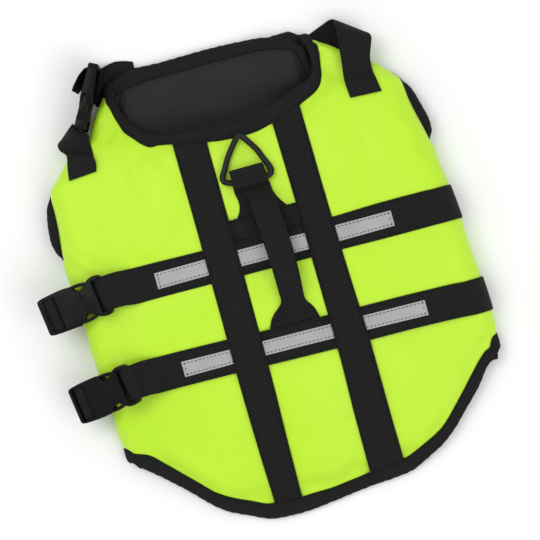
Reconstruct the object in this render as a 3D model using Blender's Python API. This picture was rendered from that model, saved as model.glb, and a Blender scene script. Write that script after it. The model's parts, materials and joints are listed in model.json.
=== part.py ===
"""Dog life jacket, laid on its belly with every buckle closed.

+Y runs towards the dog's head, +X to the right as seen from above, and +Z up.  The origin is on the table,
under the middle of the back.  Sizes and tables are in millimetres, with a row for each section.
"""

import math
from collections import namedtuple

import bmesh
import bpy
import numpy as np
from mathutils import Vector
from mathutils.bvhtree import BVHTree

MM = 0.001

# Driving dimensions.
SEAM = 0.3  # gap at a seam and between layers
WEBBING = 1.3  # thickness of the webbing
WEBBING_WIDTH = 29.4
BACK_FOAM = 9.0  # back panel, cloth and foam together
BELLY_FOAM = 7.0  # belly and chest panel
BOUND_EDGE = 3.4  # thickness of a panel where it is pinched into its binding
EDGE_DROP = 2.6  # how far the back's outer face sinks towards a bound edge
PINCH_WIDTH = 14.0  # width over which the foam thins out to an edge
LINING = 1.0
STRIP = 0.6  # thickness of the reflective tape
BINDING_EDGE = 4.2  # thickness of the folded tape beside the cloth
BINDING_FOLD = 5.2  # and where it is fullest
HEM_BINDING_WIDTH = 12.5
ARMHOLE_BINDING_WIDTH = 11.5
BELT_TROUGH = WEBBING + SEAM  # how far the underside is hollowed where a belt crosses it
RING_WIRE = 5.0
REAR_LEFT, REAR_RIGHT = -91.0, -80.5  # where the hem rounds the side folds
SHOULDER_TIP = 210.0

# The flattened body: side folds, height of the side folds' top, lift of the underside, extra height along
# the middle of the back.
FOLDS = (
    # y, left x, right x, side height, underside, crown
    (-185, -161.0, 178.0, 8.0, 0.0, 0.0),
    (-169, -161.0, 178.0, 8.0, 0.0, 0.0),
    (-150, -161.0, 178.2, 10.5, 0.0, 5.0),
    (-120, -161.3, 178.6, 14.5, 0.0, 11.0),
    (-91, -162.0, 179.0, 20.0, 0.0, 14.0),
    (-60, -163.5, 179.0, 29.0, 0.0, 10.5),
    (-25, -165.0, 177.5, 36.0, 0.0, 6.5),
    (20, -166.7, 174.8, 38.0, 0.0, 5.0),
    (60, -168.0, 171.5, 38.0, 0.0, 5.0),
    (85, -168.3, 169.0, 37.5, 0.0, 5.0),
    (110, -166.5, 165.5, 37.0, 0.0, 5.0),
    (125, -165.5, 162.5, 36.0, 0.0, 5.0),
    (138, -165.0, 160.0, 34.8, 0.0, 5.0),
    (155, -150.0, 157.5, 31.5, 0.0, 4.5),
    (163, -142.0, 151.0, 29.5, 0.4, 4.0),
    (178, -119.5, 134.0, 25.0, 2.2, 2.0),
    (190, -112.5, 119.5, 22.5, 3.0, 0.0),
    (201, -105.0, 105.5, 20.0, 3.0, 0.0),
    (210, -98.0, 93.0, 17.5, 3.0, 0.0),
    (226, -92.0, 87.0, 16.0, 3.0, 0.0),
)

# Cloth edge of the neckline from the left shoulder's tip round the back to the right shoulder's tip, and the
# free edge of its binding beside it.
NECK = (
    # cloth x, y, free x, y
    (-98.0, 210.0, -91.5, 214.5),
    (-95.6, 204.0, -86.5, 206.5),
    (-94.0, 198.0, -86.0, 200.0),
    (-92.0, 188.0, -84.3, 190.5),
    (-88.0, 176.0, -79.5, 181.5),
    (-84.0, 170.5, -75.0, 176.5),
    (-80.0, 166.0, -71.5, 172.5),
    (-73.0, 158.7, -66.5, 168.0),
    (-68.0, 155.8, -62.0, 166.0),
    (-62.0, 156.6, -58.0, 165.0),
    (-57.0, 155.6, -54.0, 163.8),
    (-50.0, 154.4, -48.0, 162.6),
    (-35.0, 151.0, -34.0, 160.5),
    (-20.0, 148.2, -19.0, 159.0),
    (-10.0, 146.2, -10.0, 158.3),
    (0.0, 145.4, 0.0, 157.5),
    (15.0, 144.8, 16.0, 155.8),
    (25.0, 145.6, 24.0, 157.0),
    (37.0, 148.7, 34.0, 160.4),
    (50.0, 153.0, 46.0, 165.0),
    (65.0, 158.0, 60.0, 170.0),
    (72.0, 161.0, 67.0, 172.5),
    (80.0, 164.5, 74.0, 175.0),
    (86.0, 169.5, 79.5, 177.5),
    (89.5, 176.0, 82.5, 180.5),
    (91.5, 186.0, 84.3, 187.5),
    (93.3, 196.0, 85.3, 196.0),
    (94.0, 203.0, 85.0, 204.0),
    (93.0, 210.0, 87.0, 215.3),
)

# Free edge of the same binding beside the chest's edge: how far it stands out from the cloth.
CHEST_BINDING_REACH = (
    # share of the chest's width, to the right, forwards, up
    (0.0, -1.0, 12.5, 2.4),
    (0.05, -3.0, 13.4, 2.2),
    (0.12, -4.0, 13.6, 0.8),
    (0.25, -0.5, 11.6, 0.0),
    (0.5, 0.0, 11.6, 0.0),
    (0.8, 0.6, 10.8, 0.0),
    (0.9, 3.6, 9.8, 0.0),
    (0.965, 6.0, 7.6, 0.0),
    (1.0, 7.8, 4.6, 0.0),
)

# Cloth edge of the back's hem, and the free edge of its binding beside it.
HEM = (
    # cloth x, y, free x, y
    (-162.0, -91.0, -161.0, -104.0),
    (-158.0, -92.0, -156.0, -105.6),
    (-150.0, -95.5, -150.0, -107.6),
    (-140.0, -99.0, -146.0, -110.0),
    (-134.0, -105.0, -141.0, -114.5),
    (-128.0, -111.5, -134.5, -120.5),
    (-118.0, -122.0, -125.0, -129.7),
    (-105.0, -136.0, -113.0, -142.0),
    (-95.0, -147.0, -102.0, -154.0),
    (-88.0, -152.0, -94.5, -161.0),
    (-80.0, -157.0, -85.5, -167.3),
    (-65.0, -164.0, -69.0, -175.0),
    (-55.0, -168.5, -58.0, -180.0),
    (-47.0, -170.0, -48.5, -182.2),
    (-23.0, -171.0, -25.0, -183.3),
    (-10.0, -170.3, -10.5, -182.5),
    (0.0, -169.3, 0.0, -181.0),
    (20.0, -167.0, 20.5, -178.6),
    (39.0, -164.5, 40.0, -176.5),
    (55.0, -163.0, 56.0, -175.7),
    (71.0, -161.5, 74.0, -173.8),
    (80.0, -159.0, 85.0, -169.2),
    (90.0, -155.0, 95.0, -164.3),
    (100.0, -151.0, 106.0, -159.3),
    (110.0, -145.5, 117.0, -151.5),
    (125.0, -131.0, 132.0, -137.0),
    (140.0, -115.0, 148.0, -121.0),
    (155.0, -98.0, 161.5, -103.0),
    (165.0, -88.0, 169.5, -97.8),
    (172.0, -83.0, 174.5, -96.0),
    (179.0, -80.5, 178.6, -94.5),
)

# The seam on the underside between the back panel's turned-under sides and the belly panel.
UNDER_SEAM = (
    # y, left x, right x
    (-91, -131.0, 141.0),
    (-40, -132.0, 139.0),
    (25, -132.0, 136.0),
    (80, -133.0, 133.0),
    (143, -127.0, 127.0),
    (158, -118.5, 108.0),
    (166, -111.0, 93.0),
    (177, -98.0, 84.5),
    (190, -91.0, 81.0),
    (205, -83.0, 78.5),
    (226, -78.0, 76.0),
)

# The chest's right edge in front of the seam, which stands free inside the neck.
CHEST_RIGHT = (
    # y, x
    (148, 150.0),
    (158, 118.0),
    (166, 92.7),
    (171, 81.5),
    (178, 78.0),
    (190, 77.0),
    (200, 76.0),
    (214, 73.5),
)
CHEST_LIFT = 5.4  # how far that corner rides above the shoulder's end

# Front edge of the chest panel against the share of its width.
CHEST_FRONT = (
    # share of the width, y
    (0.0, 210.0),
    (0.06, 211.6),
    (0.16, 213.0),
    (0.5, 213.3),
    (0.78, 212.4),
    (0.9, 209.4),
    (0.96, 206.0),
    (1.0, 200.0),
)

LegHole = namedtuple("LegHole", "side middle half_length depth")
LEG_HOLES = (LegHole(-1, 110.5, 32.0, 36.0), LegHole(1, 128.0, 33.0, 36.0))
LEG_HOLE_FOLD = 1.45  # how far round the side fold the hole's upper edge lies: 1.5 is its outermost line

# Places of the panels' points: rows along the body and columns across the half of the back.
BODY_ROWS = (-91, -72, -64, -61, -42, -23, -20, 0, 19.5, 22, 41.5, 61, 63.5, 72, 80, 86, 92, 98, 106, 114)
BODY_ROWS += (122, 130, 137, 144, 151, 158, 166, 176, 188, 199, 210)
BACK_COLUMNS = (0, 0.14, 0.28, 0.4, 0.5, 0.58, 0.66, 0.74, 0.8, 0.86, 0.93, 1.0, 1.1, 1.2, 1.35, 1.5, 1.7)
UNDER_TURN = 2.12  # how far round the back panel's side edges reach, beside the leg holes
BACK_COLUMNS += (1.92, UNDER_TURN)
BELLY_COLUMNS = (0, 0.035, 0.09, 0.16, 0.3, 0.5, 0.7, 0.84, 0.91, 0.965, 1)

# Straps along the back.
BACK_STRAP_LEFT = (
    # y, left x, right x
    (-170, -48.0, -23.0),
    (-120, -49.0, -22.0),
    (-60, -49.5, -20.5),
    (60, -49.3, -20.0),
    (154, -50.0, -20.4),
)
BACK_STRAP_RIGHT = (
    (-165, 39.0, 71.0),
    (-120, 39.0, 70.0),
    (-60, 40.0, 69.5),
    (0, 39.5, 67.6),
    (60, 39.0, 66.0),
    (158, 37.5, 65.0),
)

# Belts across the back and under the body, and the reflective tape on them.
BELT_FRONT = (
    # x, front y, rear y
    (-146, 60.6, 30.4),
    (-125, 60.4, 30.0),
    (-100, 60.0, 30.0),
    (-50, 58.7, 29.4),
    (0, 58.2, 28.9),
    (66, 57.0, 28.2),
    (110, 57.8, 27.3),
    (174, 57.0, 26.9),
)
BELT_FRONT_UNDER = ((-150, 52.5, 23.0), (174, 57.0, 27.4))
BELT_REAR = (
    (-146, -20.2, -50.2),
    (-125, -20.0, -50.3),
    (-100, -20.4, -50.4),
    (-50, -21.7, -51.3),
    (0, -23.4, -52.8),
    (68, -25.0, -54.6),
    (110, -26.0, -55.4),
    (179, -28.5, -58.4),
)
BELT_REAR_UNDER = ((-150, -26.0, -55.6), (179, -28.8, -58.2))
FRONT_STEPS = (-25, 43.5, -12, 32)  # where the front belt climbs over what it crosses
REAR_STEPS = (-11, 33.5)
STRIP_FRONT = ((-95, 51.0, 37.3), (-50, 51.0, 37.4), (0, 50.9, 37.0), (66, 49.4, 35.7), (116.3, 49.0, 35.8))
STRIP_REAR = ((-92, -29.3, -43.0), (-50, -30.2, -43.3), (0, -31.3, -44.2), (68, -32.8, -46.0))
STRIP_REAR += ((124, -34.0, -47.2),)
CROSS_BAND = (-25.0, 43.5, 77.0, 47.0)  # left, right, front and rear edges

# The lead ring, in its own plane: along its base bar and away from it.
RING_BAR = (6.5, 106.05, 4.5)  # middle of the base bar: x, y, height over the back
RING_TURN = math.radians(-5.3)  # the base bar's angle to the X axis
RING_TIP_DROP = 5.4  # how far the tip lies below the base bar
RING_OUTLINE = (
    (-19.5, 0.0),
    (-22.6, 1.2),
    (-24.0, 4.2),
    (-20.6, 11.1),
    (-16.0, 21.0),
    (-9.0, 31.8),
    (-5.8, 37.4),
    (-3.7, 39.2),
    (-1.4, 37.6),
    (3.6, 32.6),
    (11.8, 23.6),
    (15.0, 16.4),
    (18.8, 8.7),
    (20.2, 4.2),
    (19.2, 1.2),
    (16.5, 0.0),
)

# The grab handle is one piece of webbing: its lower layer is sewn under the cross band and runs to the ring,
# turns over the ring's bar, and comes back as the handle.
HANDLE_LOWER = (
    # y, left x, right x
    (66, -14.0, 33.4),
    (76.5, -13.0, 32.3),
    (80, -10.6, 29.8),
    (84, -8.9, 27.2),
    (90, -8.4, 24.6),
    (97, -8.7, 22.8),
    (105, -8.7, 21.8),
    (112.6, -8.6, 21.3),
)
HANDLE_UPPER = (
    # y, left x, right x, rise over the back, thickness
    (112.6, -8.6, 21.3, 7.5, 1.3),
    (106, -8.6, 21.5, 7.8, 1.3),
    (102, -8.5, 21.7, 7.3, 1.3),
    (99.6, -8.2, 21.8, 5.0, 1.3),
    (97.8, -6.6, 21.9, 2.9, 1.3),
    (95.5, -2.5, 22.4, 2.6, 2.2),
    (91, 0.3, 23.1, 4.2, 3.0),
    (84, 1.3, 24.0, 8.0, 3.2),
    (74, 2.0, 24.8, 11.8, 3.2),
    (62, 2.6, 25.4, 14.0, 3.2),
    (50, 3.5, 26.3, 15.0, 3.2),
    (38, 4.4, 26.6, 15.0, 3.2),
    (26, 4.8, 26.5, 13.8, 3.2),
    (14, 5.0, 26.1, 11.2, 3.2),
    (5, 5.0, 25.5, 7.8, 3.1),
    (-2, 4.8, 25.0, 4.8, 2.8),
    (-5, 3.0, 25.2, 3.5, 2.5),
    (-8, -0.4, 26.6, 2.4, 2.1),
    (-11, -3.7, 28.7, 1.5, 1.8),
    (-14, -6.2, 30.4, 0.9, 1.5),
    (-17.5, -8.2, 31.7, 0.5, 1.3),
    (-23.4, -10.5, 33.0, 0.4, 1.3),
    (-31, -10.8, 33.3, 0.4, 1.3),
    (-38, -11.0, 33.5, 0.4, 1.3),
)

# Side-release buckles, in their own frame: along from the plug's end bar, and across.
PLUG_OUTLINE = (
    (-2.6, 15.6),
    (-1.6, 17.2),
    (3.5, 18.0),
    (7.5, 17.4),
    (12.0, 14.9),
    (17.0, 11.4),
    (20.5, 9.9),
    (23.2, 9.6),
)
SOCKET_OUTLINE = ((23.6, 10.2), (24.4, 13.6), (26.0, 16.4), (29.0, 17.3), (41.0, 17.5))
ADJUSTER_OUTLINE = ((40.5, 17.4), (50.0, 16.9), (55.0, 16.3), (56.5, 14.8))
PRONG_PATH = ((12.5, 13.2), (16.5, 14.3), (21.0, 15.4), (25.6, 16.3))
PLUG_THICKNESS = 8.5
SOCKET_THICKNESS = 11.5
ADJUSTER_THICKNESS = 8.5
BAR_THICKNESS = 3.0
PLUG_BAR = (-2.0, 3.4)  # the plug's end bar and the end of its opening, along the buckle
PLUG_WINDOW_END = 6.6
WINDOW_HALF_WIDTH = 15.1  # half the width of the openings that the webbing runs through
NEAR_SLOT = (40.6, 42.9)
FAR_SLOT = (50.6, 52.9)
BELT_BUCKLES = (
    # name, end bar's x, y, z, angle in plan, tilt
    ("buckle_front", -140.5, 45.7, 43.6, 7.0, 5.0),
    ("buckle_rear", -138.3, -35.2, 46.4, 7.7, 23.0),
)
BAR_LOOP = (0.7, 3.6, 2.8)  # inner face of the webbing round an end bar: middle, half-length, half-height
BELT_RISES = {
    # how a belt comes up beside the left fold to its buckle: out from the fold, height
    "buckle_front": ((8.5, 1.7), (2.0, 4.4), (-5.0, 10.0), (-12.0, 17.0), (-18.5, 24.5)),
    "buckle_rear": ((8.5, 1.7), (2.0, 3.8), (-5.0, 7.0), (-11.5, 11.0), (-16.5, 15.5)),
}
NECK_BUCKLE = ("buckle_neck", -121.7, 188.3, 18.8, 63.0)  # name, end bar's x, y, z, angle in plan

# Neck straps: the two edges of the ribbon's inner face, where None rests on what lies below.
NECK_STRAP_LEFT = (
    # left x, y, z, right x, y, z
    (-144.0, 148.0, None, -118.6, 149.6, None),
    (-142.0, 158.0, None, -117.6, 158.5, None),
    (-140.4, 166.0, 28.0, -117.8, 166.5, 31.0),
    (-141.2, 170.5, 26.5, -118.2, 172.0, 31.5),
    (-144.4, 174.0, 22.0, -118.6, 176.0, 32.8),
    (-146.0, 178.0, 15.5, -119.8, 180.0, 34.2),
    (-143.0, 183.0, 9.0, -122.0, 183.4, 35.2),
    (-137.0, 187.0, 5.2, -124.6, 185.6, 34.9),
    (-130.5, 188.4, 4.1, -125.8, 186.9, 33.9),
)
NECK_STRAP_RIGHT = (
    (109.0, 152.0, None, 136.5, 150.6, None),
    (108.4, 160.0, None, 135.0, 160.0, None),
    (108.3, 168.0, 32.3, 134.0, 168.0, 29.0),
    (109.0, 180.0, 31.6, 134.0, 179.0, 28.5),
    (110.5, 193.0, 30.4, 138.4, 191.0, 27.5),
    (111.8, 204.0, 28.0, 139.8, 195.0, 25.0),
    (112.2, 213.0, 24.0, 139.6, 197.8, 21.0),
    (112.0, 218.5, 18.0, 139.0, 199.2, 16.0),
    (111.5, 220.0, 12.0, 138.2, 199.2, 10.5),
    (109.0, 219.5, 6.5, 134.5, 198.0, 5.6),
    (104.0, 218.0, 3.2, 127.5, 195.5, 2.8),
    (96.0, 215.2, 1.9, 117.0, 191.5, 1.9),
    (86.0, 211.3, 1.8, 105.0, 185.8, 1.8),
    (76.0, 207.5, 1.8, 94.0, 181.0, 1.8),
)
CHEST_TAB = (
    # lower x, y, z, upper x, y, z
    (-66.0, 204.0, 0.3, -64.0, 231.5, 0.3),
    (-74.0, 205.5, 0.3, -72.0, 234.5, 0.3),
    (-82.0, 207.0, 0.3, -79.5, 235.8, 0.6),
    (-88.0, 208.6, 0.3, -85.5, 235.8, 2.0),
    (-93.6, 212.6, 0.5, -89.6, 235.4, 7.0),
    (-96.4, 221.0, 1.6, -92.6, 234.4, 21.0),
    (-95.2, 227.9, 3.4, -94.0, 232.4, 31.6),
)
CHEST_TAB_IN_SOCKET = (
    # along the buckle, up
    (52.2, -5.6),
    (52.2, -0.5),
    (52.1, 4.4),
    (50.8, 6.6),
    (47.1, 8.6),
    (40.7, 10.6),
    (30.1, 12.2),
)

FABRIC_YELLOW = ((0.53, 0.86, 0.03), 0.45, 0.0)
BINDING_BLACK = ((0.012, 0.012, 0.013), 0.85, 0.0)
WEBBING_BLACK = ((0.014, 0.014, 0.015), 0.75, 0.0)
LINING_BLACK = ((0.020, 0.020, 0.022), 0.8, 0.0)
TAPE_GREY = ((0.55, 0.56, 0.57), 0.35, 0.0)
PLASTIC_BLACK = ((0.018, 0.018, 0.020), 0.38, 0.0)
METAL_BLACK = ((0.030, 0.030, 0.032), 0.42, 0.6)


class Column:
    """One column of a table against its first, read on a smooth curve that never overshoots its rows."""

    def __init__(self, rows, column):
        table = np.array(rows, float)
        self.places = table[:, 0]
        self.values = table[:, column]
        steps = np.diff(self.values) / np.diff(self.places)
        self.slopes = np.zeros(len(self.places))
        self.slopes[0] = steps[0]
        self.slopes[-1] = steps[-1]
        steady = steps[:-1] * steps[1:] > 0
        both = steps[:-1] + steps[1:]
        both[~steady] = 1
        self.slopes[1:-1] = np.where(steady, 2 * steps[:-1] * steps[1:] / both, 0)

    def __call__(self, place):
        place = min(max(place, self.places[0]), self.places[-1])
        k = int(np.searchsorted(self.places, place, side="right")) - 1
        k = min(k, len(self.places) - 2)
        span = self.places[k + 1] - self.places[k]
        t = (place - self.places[k]) / span
        rise = self.values[k + 1] - self.values[k]
        curve = t * t * (3 - 2 * t) * rise
        start = t * (1 - t) ** 2 * span * self.slopes[k]
        end = t * t * (t - 1) * span * self.slopes[k + 1]
        return float(self.values[k] + curve + start + end)


left_fold, right_fold, side_height, underside, crown = (Column(FOLDS, k) for k in range(1, 6))
seam_left, seam_right = Column(UNDER_SEAM, 1), Column(UNDER_SEAM, 2)
chest_front, chest_right = Column(CHEST_FRONT, 1), Column(CHEST_RIGHT, 1)


def smooth(t):
    t = min(max(t, 0.0), 1.0)
    return t * t * (3 - 2 * t)


def mix(a, b, t):
    return a + (b - a) * t


# ---- The body's outer surface -----


def section(y):
    """Middle, half-width of the flat part, radius of the side folds and underside height of one section."""
    left, right, bottom = left_fold(y), right_fold(y), underside(y)
    radius = (side_height(y) - bottom) / 2
    return (left + right) / 2, (right - left) / 2 - radius, radius, bottom


def trough(y):
    """1 where a belt crosses the underside, 0 elsewhere."""
    for rear, front in ((-61, -23), (22, 61)):
        if rear - 3 <= y <= front + 2.5:
            return smooth(min((y - rear + 3) / 3, (front + 3 - y) / 3, 1))
    return 0.0


def skin(across, y, out=0.0):
    """A point of the outer surface.  Across is 0 on the spine, 1 where a side fold starts, 1.5 on its
    outermost line and 2 where it ends under the body, negative on the left."""
    middle, flat, radius, bottom = section(y)
    side = math.copysign(1, across)
    reach = abs(across)
    hollow = BELT_TROUGH * trough(y) * smooth((reach - 1.5) / 0.5)
    if reach <= 1:
        rise = crown(y) * (1 - reach**2) ** 1.5
        return (middle + side * reach * flat, y, bottom + 2 * radius + rise + out)
    if reach <= 2:
        turn = (reach - 1) * math.pi
        x = middle + side * (flat + (radius + out) * math.sin(turn))
        return (x, y, bottom + radius + (radius + out) * math.cos(turn) + hollow)
    return (middle + side * flat * (3 - reach), y, bottom - out + hollow)


def across_at(x, y):
    """The place across the upper half of the body of a point seen from above."""
    middle, flat, radius, _ = section(y)
    reach = abs(x - middle)
    if reach <= flat:
        place = reach / flat
    else:
        place = 1 + math.asin(min(1.0, (reach - flat) / radius)) / math.pi
    return math.copysign(place, x - middle)


def girth(across, y):
    """Length along the section from where the side fold starts."""
    _, flat, radius, _ = section(y)
    reach = abs(across)
    if reach <= 2:
        return (reach - 1) * math.pi * radius
    return math.pi * radius + (reach - 2) * flat


def under_place(x, y):
    """The place across of a point on the underside."""
    middle, flat, _, _ = section(y)
    return 3 - abs(x - middle) / flat


def hole_share(y, side):
    """1 in the middle of the leg hole of that side, 0 at its ends and beyond."""
    for hole in LEG_HOLES:
        if hole.side == side:
            t = (y - hole.middle) / hole.half_length
            return max(0.0, 1 - t * t) ** 0.15
    return 0.0


def back_edge(y, side):
    """The place across of the back panel's turned-under edge."""
    seam = under_place(seam_left(y) if side < 0 else seam_right(y), y)
    return mix(seam, LEG_HOLE_FOLD, hole_share(y, side))


NECK_PLACES = [across_at(x, y) for x, y, _, _ in NECK]
HEM_PLACES = [across_at(x, y) for x, y, _, _ in HEM]


def neck_y(across):
    return float(np.interp(across, NECK_PLACES, [row[1] for row in NECK]))


def hem_y(across):
    return float(np.interp(across, HEM_PLACES, [row[1] for row in HEM]))


def rear_y(side):
    return REAR_LEFT if side < 0 else REAR_RIGHT


def rim_distance(x, y):
    """Distance, as seen from above, to the nearer of neckline and hem."""
    nearest = 1e9
    for table in (NECK, HEM):
        line = np.array(table, float)[:, :2]
        start, end = line[:-1], line[1:]
        along = end - start
        t = ((x - start[:, 0]) * along[:, 0] + (y - start[:, 1]) * along[:, 1]) / (along**2).sum(axis=1)
        close = start + along * np.clip(t, 0, 1)[:, None]
        nearest = min(nearest, float(np.hypot(close[:, 0] - x, close[:, 1] - y).min()))
    return nearest


def fullness(across, y):
    """0 at a bound edge of the back panel, 1 where the foam is whole."""
    reach = abs(across)
    side = math.copysign(1, across)
    distances = []
    if reach <= 1.5:
        x, _, _ = skin(across, y)
        distances.append(rim_distance(x, y))
    else:
        distances += [y - rear_y(side), SHOULDER_TIP - y]
    if reach > 1:
        distances.append(girth(back_edge(y, side), y) - girth(across, y))
    return smooth(min(distances) / PINCH_WIDTH)


def back_drop(across, y):
    """How far the outer face of the back sinks under the body's full outline near a bound edge."""
    on_top = 1 - smooth((abs(across) - 1.3) / 0.4)
    return EDGE_DROP * on_top * (1 - fullness(across, y))


def back_thickness(across, y):
    _, _, radius, _ = section(y)
    room = 0.62 * radius
    whole = min(BACK_FOAM, mix(BACK_FOAM, max(room, BOUND_EDGE), smooth((abs(across) - 0.7) / 0.3)))
    thickness = mix(BOUND_EDGE, whole, fullness(across, y))
    height = skin(across, y)[2] - back_drop(across, y)
    return min(thickness, height - 1.2) if abs(across) <= 1 else thickness


# ---- Meshes -----


def clear_scene():
    for obj in list(bpy.data.objects):
        bpy.data.objects.remove(obj, do_unlink=True)
    for collection in list(bpy.data.collections):
        bpy.data.collections.remove(collection)


def new_collection(name):
    collection = bpy.data.collections.new(name)
    bpy.context.scene.collection.children.link(collection)
    return collection


def material(name, look):
    color, roughness, metallic = look
    made = bpy.data.materials.new(name)
    made.use_nodes = True
    made.diffuse_color = (*color, 1)
    shader = made.node_tree.nodes["Principled BSDF"]
    shader.inputs["Base Color"].default_value = (*color, 1)
    shader.inputs["Roughness"].default_value = roughness
    shader.inputs["Metallic"].default_value = metallic
    return made


def finish(obj, look, collection, angle=40):
    """Gives a piece its material, smooth shading and its collection."""
    obj.data.materials.append(material(obj.name, look))
    if obj.type == "MESH":
        obj.data.shade_smooth()
        obj.data.set_sharp_from_angle(angle=math.radians(angle))
    for other in list(obj.users_collection):
        other.objects.unlink(obj)
    collection.objects.link(obj)
    return obj


PILE = []  # everything laid down so far, for the next layer to rest on


def outward(points, faces):
    """Points in millimetres and faces that point out of a closed mesh."""
    points = [Vector(point) for point in points]
    volume = 0.0
    for face in faces:
        for k in range(1, len(face) - 1):
            a, b, c = points[face[0]], points[face[k]], points[face[k + 1]]
            volume += a.dot(b.cross(c))
    if volume < 0:
        faces = [tuple(reversed(face)) for face in faces]
    return points, faces


def mesh_object(name, points, faces, look, collection):
    points, faces = outward(points, faces)
    mesh = bpy.data.meshes.new(name)
    mesh.from_pydata([point * MM for point in points], [], faces)
    mesh.update()
    obj = bpy.data.objects.new(name, mesh)
    collection.objects.link(obj)
    PILE.append(BVHTree.FromPolygons(points, faces))
    return finish(obj, look, collection)


def padded_sheet(name, outer, inner, look, collection):
    """A panel between two grids of points, closed round its four edges."""
    rows, columns = len(outer), len(outer[0])
    points = [point for row in outer for point in row] + [point for row in inner for point in row]
    half = rows * columns

    def number(row, column, layer):
        return layer * half + row * columns + column

    faces = []
    for r in range(rows - 1):
        for c in range(columns - 1):
            near, far = ((r, c), (r, c + 1)), ((r + 1, c + 1), (r + 1, c))
            for triangle in ((*near, far[0]), (near[0], *far)):
                faces.append(tuple(number(*corner, 0) for corner in triangle))
                faces.append(tuple(number(*corner, 1) for corner in reversed(triangle)))
    rim = [(0, c) for c in range(columns)] + [(r, columns - 1) for r in range(1, rows)]
    rim += [(rows - 1, c) for c in range(columns - 2, -1, -1)] + [(r, 0) for r in range(rows - 2, 0, -1)]
    for a, b in zip(rim, rim[1:] + rim[:1]):
        faces.append((number(*b, 0), number(*a, 0), number(*a, 1), number(*b, 1)))
    return mesh_object(name, points, faces, look, collection)


def loft(rings, closed=False):
    """Points and triangles of a solid through rings with the same number of points, capped at its ends
    unless it is closed."""
    count = len(rings[0])
    points = [point for ring in rings for point in ring]
    faces = []
    for r in range(len(rings) if closed else len(rings) - 1):
        near, far = r * count, (r + 1) % len(rings) * count
        for k in range(count):
            n = (k + 1) % count
            faces += [(near + k, near + n, far + k), (near + n, far + n, far + k)]
    if not closed:
        faces.append(tuple(range(count - 1, -1, -1)))
        faces.append(tuple(range(len(points) - count, len(points))))
    return points, faces


def height(x, y, reach_x=0.0, reach_y=0.0):
    """Highest point of what lies at a place, or within a reach of it."""
    best = -1e9
    for share_x in (-1, -0.5, 0, 0.5, 1) if reach_x else (0,):
        for share_y in (-1, -0.5, 0, 0.5, 1) if reach_y else (0,):
            start = Vector((x + share_x * reach_x, y + share_y * reach_y, 300))
            for tree in PILE:
                hit = tree.ray_cast(start, Vector((0, 0, -1)))[0]
                if hit is not None:
                    best = max(best, hit.z)
    return best


def ribbon_loft(rows, thickness=WEBBING):
    """Webbing or tape: each row holds three points across its inner face, and the outer face lies
    outwards."""
    rows = [[Vector(point) for point in row] for row in rows]
    thicknesses = thickness if isinstance(thickness, list) else [thickness] * len(rows)
    rings = []
    for k, row in enumerate(rows):
        before, after = rows[max(k - 1, 0)], rows[min(k + 1, len(rows) - 1)]
        tangent = after[1] - before[1]
        normal = (row[2] - row[0]).cross(tangent).normalized()
        outer = [point + normal * thicknesses[k] for point in row]
        rings.append([*row, *reversed(outer)])
    return loft(rings)


def ribbon(name, rows, look, collection, thickness=WEBBING):
    return mesh_object(name, *ribbon_loft(rows, thickness), look, collection)


def across_three(a, b):
    a, b = Vector(a), Vector(b)
    return [a, (a + b) / 2, b]


def resting_row(a, b, reach_x, reach_y, above=SEAM):
    """Three points across a ribbon from a to b, each lying just above what is there."""
    row = []
    for share in (0, 0.5, 1):
        x, y = mix(a[0], b[0], share), mix(a[1], b[1], share)
        row.append((x, y, height(x, y, reach_x, reach_y) + above))
    return row


def flat_row(a, b, reach, above=SEAM):
    """Three points across a taut ribbon from a to b, level above the highest point below it."""
    top = max(z for _, _, z in resting_row(a, b, reach, reach, above))
    return across_three((*a, top), (*b, top))


def stations(start, end, spacing, steps=(), near=8.0, fine=4.0):
    """Places from start to end, set closer around each step."""
    places = set(np.linspace(start, end, max(2, round(abs(end - start) / spacing) + 1)).tolist())
    for step in steps:
        for offset in np.arange(-near, near + 0.1, fine):
            place = step + offset
            if start < place < end:
                places.add(float(place))
    ordered = sorted(places)
    kept = [ordered[0]]
    for place in ordered[1:-1]:
        if place - kept[-1] > 2.0:
            kept.append(place)
    if ordered[-1] - kept[-1] < 2.0:
        kept.pop()
    return kept + [ordered[-1]]


BindingRow = namedtuple("BindingRow", "cloth free thick")


def binding(name, rows, collection, closed=False):
    """Binding tape folded over an edge.  Each row runs from the cloth's edge to the tape's free edge, with
    the cloth's direction through its thickness."""
    rings = []
    for k, row in enumerate(rows):
        if closed:
            before, after = rows[k - 1], rows[(k + 1) % len(rows)]
        else:
            before, after = rows[max(k - 1, 0)], rows[min(k + 1, len(rows) - 1)]
        tangent = (after.cloth + after.free) - (before.cloth + before.free)
        width = row.free - row.cloth
        away = row.thick.cross(after.cloth - before.cloth).normalized()
        away *= math.copysign(1, away.dot(width))
        normal = width.cross(tangent).normalized()
        normal *= math.copysign(1, normal.dot(row.thick))
        start = row.cloth + away * SEAM * 2.0
        shoulder = row.cloth + width * 0.84
        ring = [
            start + row.thick * BINDING_EDGE / 2,
            shoulder + normal * BINDING_FOLD / 2,
            row.free,
            shoulder - normal * BINDING_FOLD / 2,
            start - row.thick * BINDING_EDGE / 2,
        ]
        rings.append([Vector((x, y, max(z, 0.0))) for x, y, z in ring])
    return mesh_object(name, *loft(rings, closed), BINDING_BLACK, collection)


# ---- Panels -----


def back_place(column, row):
    """Place across and y of a point of the back panel's grid."""
    side = math.copysign(1, column)
    reach = abs(column)
    share = (BODY_ROWS[row] - BODY_ROWS[0]) / (BODY_ROWS[-1] - BODY_ROWS[0])
    on_top = mix(hem_y(column), neck_y(column), share)
    on_side = rear_y(side) if row == 0 else BODY_ROWS[row]
    y = mix(on_top, on_side, smooth((reach - 1) / 0.5))
    if reach > 1.2:
        reach = mix(1.2, back_edge(y, side), (reach - 1.2) / (UNDER_TURN - 1.2))
    return side * reach, y


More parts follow.
